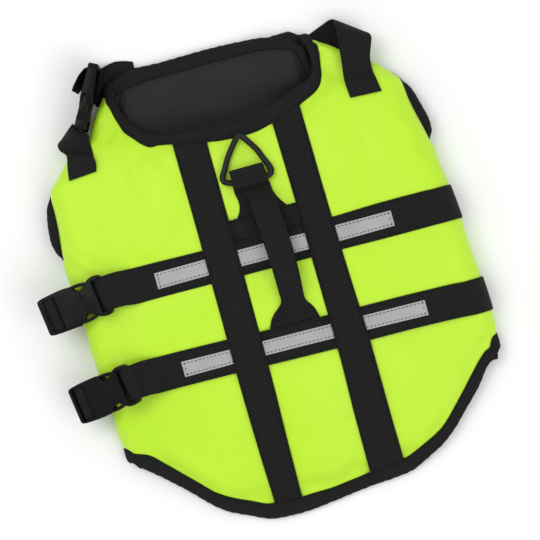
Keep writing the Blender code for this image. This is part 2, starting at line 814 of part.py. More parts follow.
def back_grids():
    """Outer and inner faces of the back panel, row by row from the hem to the neckline."""
    columns = [-reach for reach in reversed(BACK_COLUMNS[1:])] + list(BACK_COLUMNS)
    outer, inner = [], []
    for row in range(len(BODY_ROWS)):
        places = [back_place(column, row) for column in columns]
        outer.append([skin(a, y, -back_drop(a, y)) for a, y in places])
        inner.append([skin(a, y, -back_drop(a, y) - back_thickness(a, y)) for a, y in places])
    return outer, inner


def belly_sides(y):
    """Left and right edges of the belly and chest panel."""
    left = seam_left(y) + SEAM + LEG_HOLES[0].depth * hole_share(y, -1)
    right = seam_right(y) - SEAM - LEG_HOLES[1].depth * hole_share(y, 1)
    return left, min(right, chest_right(y))


def belly_point(share, nominal, above=None):
    """A point of the belly panel's outer face, or a height above its inner face."""
    rear = mix(REAR_LEFT, REAR_RIGHT, share)
    front = chest_front(share)
    y = nominal + (front - SHOULDER_TIP) * smooth((nominal - 166) / (SHOULDER_TIP - 166))
    if nominal == BODY_ROWS[0]:
        y = rear
    left, right = belly_sides(y)
    x = mix(left, right, share)
    full = smooth(min(x - left, right - x, y - rear, front - y) / PINCH_WIDTH)
    base = underside(y) + CHEST_LIFT * smooth((x - 30) / 32) * smooth((y - 160) / 22)
    if above is None:
        return (x, y, base + BELT_TROUGH * trough(y))
    return (x, y, base + mix(BOUND_EDGE, BELLY_FOAM, full) + above)


def belly_grids():
    outer = [[belly_point(share, row) for share in BELLY_COLUMNS] for row in BODY_ROWS]
    inner = [[belly_point(share, row, 0) for share in BELLY_COLUMNS] for row in BODY_ROWS]
    return outer, inner


def make_lining(collection):
    grids = []
    for above in (SEAM + LINING, SEAM):
        grids.append([[belly_point(s, row, above) for s in BELLY_COLUMNS[1:-1]] for row in BODY_ROWS[1:]])
    return padded_sheet("chest_lining", *grids, LINING_BLACK, collection)


# ---- Bindings -----


def rim(grids, row, column, reach):
    """A row of binding at a point of a panel's edge, reaching that far from the cloth."""
    outer, inner = (Vector(grid[row][column]) for grid in grids)
    cloth = (outer + inner) / 2
    return BindingRow(cloth, cloth + Vector(reach), (outer - inner).normalized())


def edge_reach(table, places, place, under):
    """How far the binding reaches beside a place of the neckline or the hem, or under the body."""
    rows = np.array(table, float)
    reach = [float(np.interp(place, places, rows[:, k + 2] - rows[:, k])) for k in (0, 1)]
    return Vector((*reach, 0)).lerp(Vector(under), smooth((abs(place) - 1.5) / 0.25))


def make_neck_binding(back, belly, collection):
    """One length of tape: up the chest's right edge, along its front, round the left shoulder's tip, along
    the neckline and round the right shoulder's tip to end under the chest."""
    last = len(BODY_ROWS) - 1
    rows = [rim(belly, k, -1, (8.0, 0.6 * (k - last) + 2.6, 1.0)) for k in range(last - 3, last)]
    reaches = [Column(CHEST_BINDING_REACH, k) for k in (1, 2, 3)]
    for k in range(len(BELLY_COLUMNS) - 1, -1, -1):
        share = BELLY_COLUMNS[k]
        rows.append(rim(belly, last, k, [reach(share) for reach in reaches]))
    columns = len(back[0][0])
    for column in range(1, columns):
        place = back_place(column_reach(column), last)[0]
        under = (2.5, 8.0, 2.4) if place < 0 else (-2.0, 9.5, 0)
        rows.append(rim(back, last, column, edge_reach(NECK, NECK_PLACES, place, under)))
    end = rows[-1]
    shift = Vector((-9.0, 3.0, 0.0))
    rows.append(BindingRow(end.cloth + shift, end.free + shift, end.thick))
    return binding("neck_binding", rows, collection)


def column_reach(column):
    """Nominal place across of a column of the back panel."""
    middle = len(BACK_COLUMNS) - 1
    return math.copysign(BACK_COLUMNS[abs(column - middle)], column - middle)


def make_hem_binding(back, collection):
    rows = []
    for column in range(len(back[0][0])):
        place = back_place(column_reach(column), 0)[0]
        reach = edge_reach(HEM, HEM_PLACES, place, (0, -HEM_BINDING_WIDTH, 0))
        row = rim(back, 0, column, reach)
        sag = smooth((1.5 - abs(place)) / 0.3) * max(0.0, 0.5 * row.cloth.z - 3.2)
        rows.append(BindingRow(row.cloth, row.free - Vector((0, 0, sag)), row.thick))
    return binding("hem_binding", rows, collection)


def make_belly_binding(belly, collection):
    rows = [rim(belly, 0, k, (0, -HEM_BINDING_WIDTH + 1, 0)) for k in range(0, len(BELLY_COLUMNS), 2)]
    return binding("belly_hem_binding", rows, collection)


def make_armhole_binding(hole, name, back, belly, collection):
    """A ring of tape round a leg hole: along the back's fold edge one way and the belly's edge the other."""
    inside = [k for k, y in enumerate(BODY_ROWS) if abs(y - hole.middle) < hole.half_length]
    edge = 0 if hole.side < 0 else -1

    def reach(row, side_part):
        t = (BODY_ROWS[row] - hole.middle) / hole.half_length
        direction = side_part * math.sqrt(1 - t * t) + Vector((0, -0.9 * t, 0))
        return direction.normalized() * ARMHOLE_BINDING_WIDTH

    def end(row, beyond, side):
        y = mix(BODY_ROWS[row], BODY_ROWS[beyond], 0.55)
        x = (seam_left if hole.side < 0 else seam_right)(y)
        cloth = Vector((x, y, BOUND_EDGE / 2))
        free = cloth + Vector((0, side * ARMHOLE_BINDING_WIDTH * 0.8, 0))
        return BindingRow(cloth, free, Vector((0, 0, -1)))

    fold = Vector((hole.side * 0.62, 0, -0.78))
    flat = Vector((hole.side, 0, 0))
    rows = [rim(back, k, edge, reach(k, fold)) for k in inside]
    rows.append(end(inside[-1], inside[-1] + 1, -1))
    rows += [rim(belly, k, edge, reach(k, flat)) for k in reversed(inside)]
    rows.append(end(inside[0], inside[0] - 1, 1))
    return binding(name, rows, collection, closed=True)


# ---- Buckles -----


Frame = namedtuple("Frame", "origin along across up")


def belt_buckle_frame(x, y, z, plan, tilt):
    plan, tilt = math.radians(plan), math.radians(tilt)
    along = Vector((-math.cos(plan) * math.cos(tilt), -math.sin(plan) * math.cos(tilt), -math.sin(tilt)))
    across = Vector((-math.sin(plan), math.cos(plan), 0))
    return Frame(Vector((x, y, z)), along, across, across.cross(along))


def neck_buckle_frame(x, y, z, plan):
    plan = math.radians(plan)
    along = Vector((math.cos(plan), math.sin(plan), 0))
    return Frame(Vector((x, y, z)), along, Vector((0, 0, 1)), Vector((-math.sin(plan), math.cos(plan), 0)))


def at(frame, along, across, up):
    return frame.origin + frame.along * along + frame.across * across + frame.up * up


def outline_plate(name, half_outline, thickness, rounding):
    """A plate with a mirrored outline, as a mesh in metres in the buckle's own frame."""
    outline = list(half_outline) + [(along, -across) for along, across in reversed(half_outline)]
    curve = bpy.data.curves.new(name, "CURVE")
    curve.dimensions = "2D"
    curve.fill_mode = "BOTH"
    curve.extrude = (thickness / 2 - rounding) * MM
    curve.bevel_depth = rounding * MM
    curve.bevel_resolution = 0
    curve.offset = -rounding * MM
    spline = curve.splines.new("POLY")
    spline.points.add(len(outline) - 1)
    for point, (along, across) in zip(spline.points, outline):
        point.co = (along * MM, across * MM, 0, 1)
    spline.use_cyclic_u = True
    return solid_from_curve(name, curve)


def solid_from_curve(name, curve):
    obj = bpy.data.objects.new(name, curve)
    bpy.context.scene.collection.objects.link(obj)
    bpy.context.view_layer.update()
    evaluated = obj.evaluated_get(bpy.context.evaluated_depsgraph_get())
    mesh = bpy.data.meshes.new_from_object(evaluated)
    shape = bmesh.new()
    shape.from_mesh(mesh)
    bmesh.ops.remove_doubles(shape, verts=shape.verts, dist=1e-6)
    bmesh.ops.recalc_face_normals(shape, faces=shape.faces)
    shape.to_mesh(mesh)
    shape.free()
    bpy.data.objects.remove(obj)
    made = bpy.data.objects.new(name, mesh)
    bpy.context.scene.collection.objects.link(made)
    return made


def block(name, along, across, up):
    """A box between two places along, across and up, in the buckle's own frame."""
    bpy.ops.mesh.primitive_cube_add(size=1)
    obj = bpy.context.object
    obj.name = name
    spans = (along, across, up)
    scale = Vector([(high - low) * MM for low, high in spans])
    middle = Vector([(high + low) / 2 * MM for low, high in spans])
    for vertex in obj.data.vertices:
        vertex.co = vertex.co * scale + middle
    return obj


def prong(name, side):
    """A thin sprung arm of the plug that bows out beside its waist."""
    half_height, half_thickness = 2.4, 0.6
    points = []
    for along, across in PRONG_PATH:
        for up in (-half_height, half_height):
            for offset in (-half_thickness, half_thickness):
                points.append(Vector((along, side * (across + offset), up)) * MM)
    faces = []
    for k in range(len(PRONG_PATH) - 1):
        a, b = 4 * k, 4 * k + 4
        for i, j in ((0, 1), (1, 3), (3, 2), (2, 0)):
            faces.append((a + i, a + j, b + j, b + i))
    last = 4 * len(PRONG_PATH) - 4
    faces += [(0, 2, 3, 1), (last, last + 1, last + 3, last + 2)]
    mesh = bpy.data.meshes.new(name)
    mesh.from_pydata(points, [], faces)
    shape = bmesh.new()
    shape.from_mesh(mesh)
    bmesh.ops.recalc_face_normals(shape, faces=shape.faces)
    shape.to_mesh(mesh)
    shape.free()
    obj = bpy.data.objects.new(name, mesh)
    bpy.context.scene.collection.objects.link(obj)
    return obj


def combined(base, joined, cut, cutters):
    """The mesh of a base with other solids joined to it and cut from it, and the helpers put away."""
    for other, operation in [(other, "UNION") for other in joined] + [(other, "DIFFERENCE") for other in cut]:
        modifier = base.modifiers.new(operation.title(), "BOOLEAN")
        modifier.operation = operation
        modifier.solver = "EXACT"
        modifier.object = other
    bpy.context.view_layer.update()
    mesh = bpy.data.meshes.new_from_object(base.evaluated_get(bpy.context.evaluated_depsgraph_get()))
    for helper in [base, *joined, *cut]:
        helper.modifiers.clear()
        for other in list(helper.users_collection):
            other.objects.unlink(helper)
        cutters.objects.link(helper)
        helper.hide_render = True
        helper.display_type = "WIRE"
    return mesh


def plug_mesh(cutters):
    """Frame with the end bar, waisted plate, prongs and tongue."""
    base = outline_plate("plug_plate", PLUG_OUTLINE, PLUG_THICKNESS, 0.9)
    window = WINDOW_HALF_WIDTH
    opening = block("plug_window", (-6, PLUG_WINDOW_END), (-window, window), (-6, 6))
    bar = block("plug_bar", PLUG_BAR, (-window - 1.2, window + 1.2), (-BAR_THICKNESS / 2, BAR_THICKNESS / 2))
    tongue = block("plug_tongue", (23.0, 37.0), (-7.4, 7.4), (-2.2, 2.2))
    prongs = [prong("plug_prong_left", 1), prong("plug_prong_right", -1)]
    framed = bpy.data.objects.new("plug_frame", combined(base, [], [opening], cutters))
    bpy.context.scene.collection.objects.link(framed)
    return combined(framed, [bar, tongue, *prongs], [], cutters)


def socket_mesh(cutters):
    """Hollow body with the pocket for the tongue, and the adjuster with its two slots and centre bar."""
    base = outline_plate("socket_body", SOCKET_OUTLINE, SOCKET_THICKNESS, 1.3)
    adjuster = outline_plate("socket_adjuster", ADJUSTER_OUTLINE, ADJUSTER_THICKNESS, 0.9)
    window = WINDOW_HALF_WIDTH
    pocket = block("socket_pocket", (20, 38), (-7.9, 7.9), (-2.7, 2.7))
    slots = [block("socket_slot", slot, (-window, window), (-6, 6)) for slot in (NEAR_SLOT, FAR_SLOT)]
    depth = (ADJUSTER_THICKNESS - BAR_THICKNESS) / 2
    span = (NEAR_SLOT[1] - 0.5, FAR_SLOT[0] + 0.5)
    top = ADJUSTER_THICKNESS / 2
    recesses = [block("socket_recess", span, (-window, window), (top - depth, top + 3))]
    recesses.append(block("socket_recess_below", span, (-window, window), (-top - 3, depth - top)))
    return combined(base, [adjuster], [pocket, *slots, *recesses], cutters)


def place_buckle(name, frame, meshes, collection):
    for part, mesh in zip(("plug", "socket"), meshes):
        copy = mesh.copy()
        for vertex in copy.vertices:
            along, across, up = vertex.co
            vertex.co = at(frame, along / MM, across / MM, up / MM) * MM
        copy.name = f"{name}_{part}"
        obj = bpy.data.objects.new(f"{name}_{part}", copy)
        collection.objects.link(obj)
        finish(obj, PLASTIC_BLACK, collection, angle=30)
        if frame.along.cross(frame.across).dot(frame.up) < 0:
            copy.flip_normals()


# ---- Webbing -----


def make_cross_band(collection):
    left, right, front, rear = CROSS_BAND
    rows = [resting_row((x, front), (x, rear), 4.2, 7.5) for x in stations(left, right, 4.0)]
    return ribbon("cross_band", rows, WEBBING_BLACK, collection)


def back_height(x, y):
    """Height of the bare back."""
    return skin(across_at(x, y), y)[2]


def handle_lower_rows():
    """Upper face of the handle's lower layer."""
    rows = []
    for y, left, right in HANDLE_LOWER:
        middle = (left + right) / 2
        z = height(middle, y, 10.0, 3.0) + SEAM + WEBBING
        rows.append([(x, y, z) for x in (right, middle, left)])
    return rows


def make_handle(lower_rows, collection):
    """The handle's webbing from under the cross band, round the ring's bar and back over the cross band."""
    rows = list(lower_rows)
    thickness = [WEBBING] * len(rows)
    front_y, left, right = HANDLE_LOWER[-1]
    low, high = rows[-1][0][2], back_height(*RING_BAR[:2]) + HANDLE_UPPER[0][3]
    radius = (high - low) / 2
    for turn in (30, 60, 90, 120, 150):
        y = front_y + radius * math.sin(math.radians(turn))
        z = low + radius - radius * math.cos(math.radians(turn))
        rows.append([(x, y, z) for x in (right, (left + right) / 2, left)])
        thickness.append(WEBBING)
    for y, left, right, rise, thick in HANDLE_UPPER:
        middle = (left + right) / 2
        if y > -16:
            z = back_height(middle, y) + rise
            rows.append([(x, y, z) for x in (right, middle, left)])
        else:
            rows.append(resting_row((right, y), (left, y), 5.0, 2.0, rise))
        thickness.append(thick)
    return ribbon("grab_handle", rows, WEBBING_BLACK, collection, thickness)


def bar_loop(turn):
    """A point of the webbing round an end bar, along and up, from -90 degrees below the bar to 90 above."""
    middle, half_length, half_height = BAR_LOOP
    return middle + half_length * math.cos(turn), half_height * math.sin(turn)


def belt_rows(top_rows, under_rows, frame, rise, steps):
    """Inner face of a belt: back under the plug's bar, round it, across the back, round the right fold, under
    the body, up on the left and through the socket's slots."""
    upper, lower = Column(top_rows, 1), Column(top_rows, 2)
    under_upper, under_lower = Column(under_rows, 1), Column(under_rows, 2)
    half = WEBBING_WIDTH / 2

    def near_bar(x, z, share):
        """A row at x, turned to the bar by a share."""
        level = across_three((x, upper(x), z), (x, lower(x), z))
        away = frame.origin.x - x
        turned = across_three(at(frame, away, half, 0), at(frame, away, -half, 0))
        mixed = [a.lerp(b, share) for a, b in zip(level, turned)]
        return [Vector((a.x, a.y, z)) for a in mixed]

    returned = []
    for x, share in ((-116, 0.0), (-125, 0.5), (-133.5, 1.0)):
        z = flat_row((x, upper(x)), (x, lower(x)), 2.0)[0].z + WEBBING
        returned.append(near_bar(x, z, share))
    level = max(row[0].z for row in returned)
    rows = [[Vector((a.x, a.y, level)) for a in row] for row in returned]
    for turn in range(-90, 91, 30):
        along, up = bar_loop(math.radians(turn))
        rows.append(across_three(at(frame, along, half, up), at(frame, along, -half, up)))
    top = at(frame, -2.5, 0, BAR_LOOP[2])
    rows.append(near_bar(top.x, top.z, 1.0))
    for x, share, turned in ((-126, 0.4, 0.5), (-115, 0.06, 0.0)):
        rows.append(near_bar(x, mix(level + 2 * SEAM, top.z, share), turned))
    for x in stations(-106, 152, 15.0, steps):
        rows.append(resting_row((x, upper(x)), (x, lower(x)), 3.0, 7.5))
    y = (upper(175) + lower(175)) / 2
    for nominal in (1.0, 1.1, 1.2, 1.35, 1.5, 1.7, BACK_COLUMNS[-2], 2.0):
        turned = mix(1.2, back_edge(y, 1), (nominal - 1.2) / (UNDER_TURN - 1.2)) if nominal > 1.2 else nominal
        rows.append([skin(turned, place, SEAM * 1.5) for place in (upper(175), y, lower(175))])
    rows.pop()
    for x in (60, -60, -146):
        rows.append(across_three((x, under_upper(x), WEBBING), (x, under_lower(x), WEBBING)))
    y_upper, y_lower = under_upper(-150), under_lower(-150)
    fold = left_fold((y_upper + y_lower) / 2)
    for step, z in rise:
        rows.append(across_three((fold + step, y_upper, z), (fold + step, y_lower, z)))
    loop = ((51.1, -6.0), (51.1, -2.0), (51.0, 1.4), (50.2, 2.1), (43.3, 2.1), (42.5, 1.4), (42.4, -2.0))
    tail = ((42.1, -6.0), (40.8, -8.8), (38.0, -10.6))
    for along, up in loop + tail:
        rows.append(across_three(at(frame, along, half, up), at(frame, along, -half, up)))
    return rows


def make_strip(name, table, collection):
    upper, lower = Column(table, 1), Column(table, 2)
    start, end = table[0][0], table[-1][0]
    rows = [resting_row((x, upper(x)), (x, lower(x)), 4.6, 3.6) for x in stations(start, end, 9.0)]
    return ribbon(name, rows, TAPE_GREY, collection, STRIP)


def make_back_strap(name, table, collection):
    left, right = Column(table, 1), Column(table, 2)
    start, end = table[0][0], table[-1][0]
    steps = [78, 59, 45, 29, -21, -31, -46, -55]
    rows = []
    for y in stations(start, end, 14.0, steps):
        ends = []
        for x in (left(y), right(y)):
            place = across_at(x, y)
            on_edge = {start: hem_y(place) + 0.6, end: neck_y(place) - 0.6}
            ends.append((x, on_edge.get(y, y)))
        rows.append(resting_row(*ends, 7.5, 3.6))
    return ribbon(name, rows, WEBBING_BLACK, collection)


def edge_rows(table):
    """Rows of a ribbon from its two edges, where no height means that it rests on what is below."""
    rows = []
    for row in table:
        first, second = row[:3], row[3:]
        if first[2] is None:
            rows.append(resting_row(first, second, 6.5, 3.0))
        else:
            rows.append(across_three(first, second))
    return rows


def upright_rows(frame, path):
    """Rows of webbing that stands upright, along a path in a buckle's own frame."""
    half = WEBBING_WIDTH / 2
    return [across_three(at(frame, a, -half, up), at(frame, a, half, up)) for a, up in path]


def make_neck_webbing(frame, collection):
    loop = [bar_loop(turn) for turn in np.linspace(math.pi / 2 + 0.5, -math.pi / 2 - 0.36, 9)]
    rows = edge_rows(NECK_STRAP_LEFT) + upright_rows(frame, loop)
    ribbon("neck_strap_left", rows, WEBBING_BLACK, collection)
    ribbon("neck_strap_right", edge_rows(NECK_STRAP_RIGHT), WEBBING_BLACK, collection)
    rows = edge_rows(CHEST_TAB) + upright_rows(frame, CHEST_TAB_IN_SOCKET)
    ribbon("chest_tab", rows, WEBBING_BLACK, collection)


def make_ring(collection):
    """The lead ring, its origin on the axis of its base bar."""
    x, y, rise = RING_BAR
    origin = Vector((x, y, back_height(x, y) + rise))
    reach = max(away for _, away in RING_OUTLINE)
    along = Vector((math.cos(RING_TURN), math.sin(RING_TURN), 0))
    away = Vector((-math.sin(RING_TURN), math.cos(RING_TURN), -RING_TIP_DROP / reach)).normalized()
    curve = bpy.data.curves.new("lead_ring", "CURVE")
    curve.dimensions = "3D"
    curve.bevel_depth = RING_WIRE / 2 * MM
    curve.bevel_resolution = 2
    spline = curve.splines.new("POLY")
    spline.points.add(len(RING_OUTLINE) - 1)
    for point, (u, v) in zip(spline.points, RING_OUTLINE):
        point.co = (*((along * u + away * v) * MM), 1)
    spline.use_cyclic_u = True
    obj = bpy.data.objects.new("lead_ring", curve)
    obj.location = origin * MM
    collection.objects.link(obj)
    return finish(obj, METAL_BLACK, collection)


def main():
    clear_scene()
    jacket = new_collection("dog_life_jacket")
    cutters = new_collection("cutters")
    back, belly = back_grids(), belly_grids()
    padded_sheet("back_panel", *back, FABRIC_YELLOW, jacket)
    padded_sheet("belly_panel", *belly, FABRIC_YELLOW, jacket)
    make_lining(jacket)
    frames = {name: belt_buckle_frame(*place) for name, *place in BELT_BUCKLES}
    lower_rows = handle_lower_rows()
    PILE.append(BVHTree.FromPolygons(*outward(*ribbon_loft(lower_rows))))
    make_cross_band(jacket)
    rise = BELT_RISES["buckle_front"]
    rows = belt_rows(BELT_FRONT, BELT_FRONT_UNDER, frames["buckle_front"], rise, FRONT_STEPS)
    ribbon("belt_front", rows, WEBBING_BLACK, jacket)
    make_strip("reflective_strip_front", STRIP_FRONT, jacket)
    make_handle(lower_rows, jacket)
    rise = BELT_RISES["buckle_rear"]
    rows = belt_rows(BELT_REAR, BELT_REAR_UNDER, frames["buckle_rear"], rise, REAR_STEPS)
    ribbon("belt_rear", rows, WEBBING_BLACK, jacket)
    make_strip("reflective_strip_rear", STRIP_REAR, jacket)
    make_back_strap("back_strap_left", BACK_STRAP_LEFT, jacket)
    make_back_strap("back_strap_right", BACK_STRAP_RIGHT, jacket)
    neck_frame = neck_buckle_frame(*NECK_BUCKLE[1:])
    make_neck_webbing(neck_frame, jacket)
    make_neck_binding(back, belly, jacket)
    make_hem_binding(back, jacket)
    make_belly_binding(belly, jacket)
    for hole, name in zip(LEG_HOLES, ("armhole_binding_left", "armhole_binding_right")):
        make_armhole_binding(hole, name, back, belly, jacket)
    make_ring(jacket)
    meshes = (plug_mesh(cutters), socket_mesh(cutters))
    for name, frame in [*frames.items(), (NECK_BUCKLE[0], neck_frame)]:
        place_buckle(name, frame, meshes, jacket)


main()
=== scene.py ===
# %% [markdown]
# # Dog life jacket
# The jacket lies on its belly with all three buckles closed.  Its CAD solids give every piece its
# place and main shape.  Here each soft piece is made again as what it is: foam in nylon, folded
# tape, or webbing.

import json
import math
from collections import namedtuple

import bmesh
import bpy
import numpy as np
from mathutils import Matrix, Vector
from mathutils.bvhtree import BVHTree

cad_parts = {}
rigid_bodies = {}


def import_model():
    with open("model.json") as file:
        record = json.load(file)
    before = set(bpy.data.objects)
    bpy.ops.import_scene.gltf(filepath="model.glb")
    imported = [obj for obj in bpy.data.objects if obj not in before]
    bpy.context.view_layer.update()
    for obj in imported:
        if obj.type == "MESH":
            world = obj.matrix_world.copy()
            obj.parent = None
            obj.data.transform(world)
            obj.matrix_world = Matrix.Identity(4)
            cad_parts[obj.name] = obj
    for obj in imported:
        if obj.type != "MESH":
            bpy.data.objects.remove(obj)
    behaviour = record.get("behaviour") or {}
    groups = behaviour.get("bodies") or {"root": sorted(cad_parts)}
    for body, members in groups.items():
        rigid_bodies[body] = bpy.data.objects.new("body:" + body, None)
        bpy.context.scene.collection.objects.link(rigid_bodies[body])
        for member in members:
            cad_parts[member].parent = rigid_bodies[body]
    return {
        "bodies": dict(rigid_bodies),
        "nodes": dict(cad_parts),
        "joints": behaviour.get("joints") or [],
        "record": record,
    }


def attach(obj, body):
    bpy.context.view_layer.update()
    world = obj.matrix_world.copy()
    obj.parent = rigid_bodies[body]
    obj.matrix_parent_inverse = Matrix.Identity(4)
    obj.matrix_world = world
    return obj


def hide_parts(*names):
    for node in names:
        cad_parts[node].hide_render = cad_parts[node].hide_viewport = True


MM = 0.001
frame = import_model()
scene = bpy.context.scene
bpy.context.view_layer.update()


# %% [markdown]
# ## Floor, light and camera
# A garment on a table shows its cut best from straight above, through a long lens that hardly
# bends its outline.  Large soft lights stand round it, because a small lamp would burn white spots
# into the buckles.  The brighter light stands beyond the neck, so that cloth that falls towards
# the hem turns darker.

# %% Floor


def new_object(name, mesh):
    """An object at the origin, with its place in its mesh."""
    made = bpy.data.objects.new(name, mesh)
    scene.collection.objects.link(made)
    return made


def set_inputs(node, values):
    """Sets a node's inputs by their names."""
    for name, value in values.items():
        node.inputs[name].default_value = value


def principled(name, color, roughness):
    """A new material, its Principled BSDF and its nodes."""
    made = bpy.data.materials.new(name)
    made.use_nodes = True
    made.diffuse_color = (*color, 1)
    shader = made.node_tree.nodes["Principled BSDF"]
    set_inputs(shader, {"Base Color": (*color, 1), "Roughness": roughness})
    return made, shader, made.node_tree


FLOOR_HALF = 3.0
floor_mesh = bpy.data.meshes.new("floor")
corners = [(x * FLOOR_HALF, y * FLOOR_HALF, 0) for x, y in ((-1, -1), (1, -1), (1, 1), (-1, 1))]
floor_mesh.from_pydata(corners, [], [(0, 1, 2, 3)])
floor = new_object("floor", floor_mesh)
floor_mesh.materials.append(principled("white_table", (0.92, 0.92, 0.92), 0.9)[0])

# %% Lights
scene.view_settings.view_transform = "Standard"


def softbox(name, place, size, watts):
    """A round area light that faces the jacket."""
    light = bpy.data.lights.new(name, "AREA")
    light.shape = "DISK"
    light.size = size
    light.energy = watts
    lamp = bpy.data.objects.new(name, light)
    lamp.location = place
    lamp.rotation_euler = (-Vector(place)).to_track_quat("-Z", "Y").to_euler()
    scene.collection.objects.link(lamp)


softbox("key_light", (-0.8, 0.8, 2.0), 1.4, 15)
softbox("fill_light", (0.9, -1.2, 1.9), 1.8, 13)
world = bpy.data.worlds.new("studio")
scene.world = world
world.use_nodes = True
set_inputs(world.node_tree.nodes["Background"], {"Color": (1, 1, 1, 1), "Strength": 0.75})

# %% Camera
CAMERA_OVER = Vector((0.0028, 0.0261, 0.0))
CAMERA_TURN = math.radians(-15.5)
CAMERA_HEIGHT = 2.4
FIELD_WIDTH = 0.4669  # across the picture, at FIELD_LEVEL
FIELD_LEVEL = 0.025  # height over the table, near the middle of the jacket

lens = bpy.data.cameras.new("camera")
camera = bpy.data.objects.new("camera", lens)
scene.collection.objects.link(camera)
lens.sensor_width = 36
lens.lens = lens.sensor_width * CAMERA_HEIGHT / FIELD_WIDTH
lens.clip_end = 20
camera.location = CAMERA_OVER + Vector((0, 0, CAMERA_HEIGHT + FIELD_LEVEL))
camera.rotation_euler = (0, 0, CAMERA_TURN)
scene.camera = camera
print("lens:", round(lens.lens), "mm")

# %% [markdown]
# ## Finishes
# Woven things look right when their pattern follows the thread.  Every cloth piece below carries
# two numbers at each point, in metres: "along", the way its threads run, and "around", across
# them.  The finishes read these two, so that ribs bend with a strap and a twill climbs round a
# folded edge.  An image would do the same but blurs when seen close.

# %% Small helpers for node trees


def add(tree, kind, x=0, **settings):
    """A node at a place in its tree, with its settings."""
    made = tree.nodes.new(kind)
    made.location = (x, 0)
    for name, value in settings.items():
        setattr(made, name, value)
    return made


def join(tree, start, end):
    tree.links.new(start, end)


def calc(tree, operation, first, second=None):
    """A Math node between two sockets or numbers."""
    made = add(tree, "ShaderNodeMath", operation=operation)
    for socket, value in zip(made.inputs, (first, second)):
        if value is None:
            continue
        if isinstance(value, (int, float)):
            socket.default_value = value
        else:
            join(tree, value, socket)
    return made.outputs[0]


def thread_places(tree):
    """The sockets of a piece's "along" and "around"."""
    found = [add(tree, "ShaderNodeAttribute", attribute_name=name) for name in ("along", "around")]
    return [made.outputs["Fac"] for made in found]


def object_noise(tree, scale, detail=3.0):
    """Smooth noise from 0 to 1 through space, with that many patches to a metre."""
    place = add(tree, "ShaderNodeTexCoord")
    noise = add(tree, "ShaderNodeTexNoise")
    set_inputs(noise, {"Scale": scale, "Detail": detail})
    join(tree, place.outputs["Object"], noise.inputs["Vector"])
    return noise.outputs["Fac"]


def blend_colors(tree, shader, share, first, second):
    """Gives a finish a color between two, by a share from 0 to 1."""
    mixer = add(tree, "ShaderNodeMix", data_type="RGBA")
    join(tree, share, mixer.inputs["Factor"])
    set_inputs(mixer, {"A": (*first, 1), "B": (*second, 1)})
    join(tree, mixer.outputs["Result"], shader.inputs["Base Color"])


def raise_grain(tree, shader, height, depth):
    """Bump of that depth in metres, where the height runs from 0 to 1."""
    bump = add(tree, "ShaderNodeBump")
    bump.inputs["Distance"].default_value = depth
    join(tree, height, bump.inputs["Height"])
    join(tree, bump.outputs["Normal"], shader.inputs["Normal"])


def wave(tree, place, pitch, phase=0.0):
    """0 to 1 and back over each pitch along a place."""
    turn = calc(tree, "MULTIPLY_ADD", place, 2 * math.pi / pitch)
    turn.node.inputs[2].default_value = phase
    return calc(tree, "MULTIPLY_ADD", calc(tree, "SINE", turn), 0.5).node.outputs[0]


# %% [markdown]
# ### Coated nylon
# The back and belly are a plain-woven nylon with a coat that makes it shine softly.  Its neon dye
# throws back more green than any common paint, so the base color is nearly pure, and only its hue
# wanders a little.

# %% Coated nylon
THREAD = 0.0007  # between the threads of the plain weave


def make_coated_nylon():
    made, shader, tree = principled("coated_nylon", (0.53, 0.86, 0.03), 0.42)
    along, around = thread_places(tree)
    hue = object_noise(tree, 9.0)
    blend_colors(tree, shader, hue, (0.455, 0.80, 0.010), (0.53, 0.815, 0.036))
    weave = calc(tree, "MULTIPLY", wave(tree, along, THREAD), wave(tree, around, THREAD))
    grain = calc(tree, "MULTIPLY_ADD", object_noise(tree, 260.0, 2.0), 0.6)
    join(tree, weave, grain.node.inputs[2])
    raise_grain(tree, shader, grain, 0.00006)
    set_inputs(shader, {"Specular IOR Level": 0.35, "Sheen Weight": 0.08, "Sheen Roughness": 0.5})
    return made


coated_nylon = make_coated_nylon()

# %% [markdown]
# ### Webbing
# Webbing is woven in short floats like small bricks: each row of weft makes a rib, and the next
# row's bricks are set off by half.  The ribs are real relief on the mesh; the bricks within a rib
# are bump.  The colour is painted lighter on the rib tops, a painted highlight, and darker in the
# grooves and between the bricks, a painted shade.

# %% Webbing
RIB_PITCH = 0.0018
BRICK_WIDTH = 0.0024


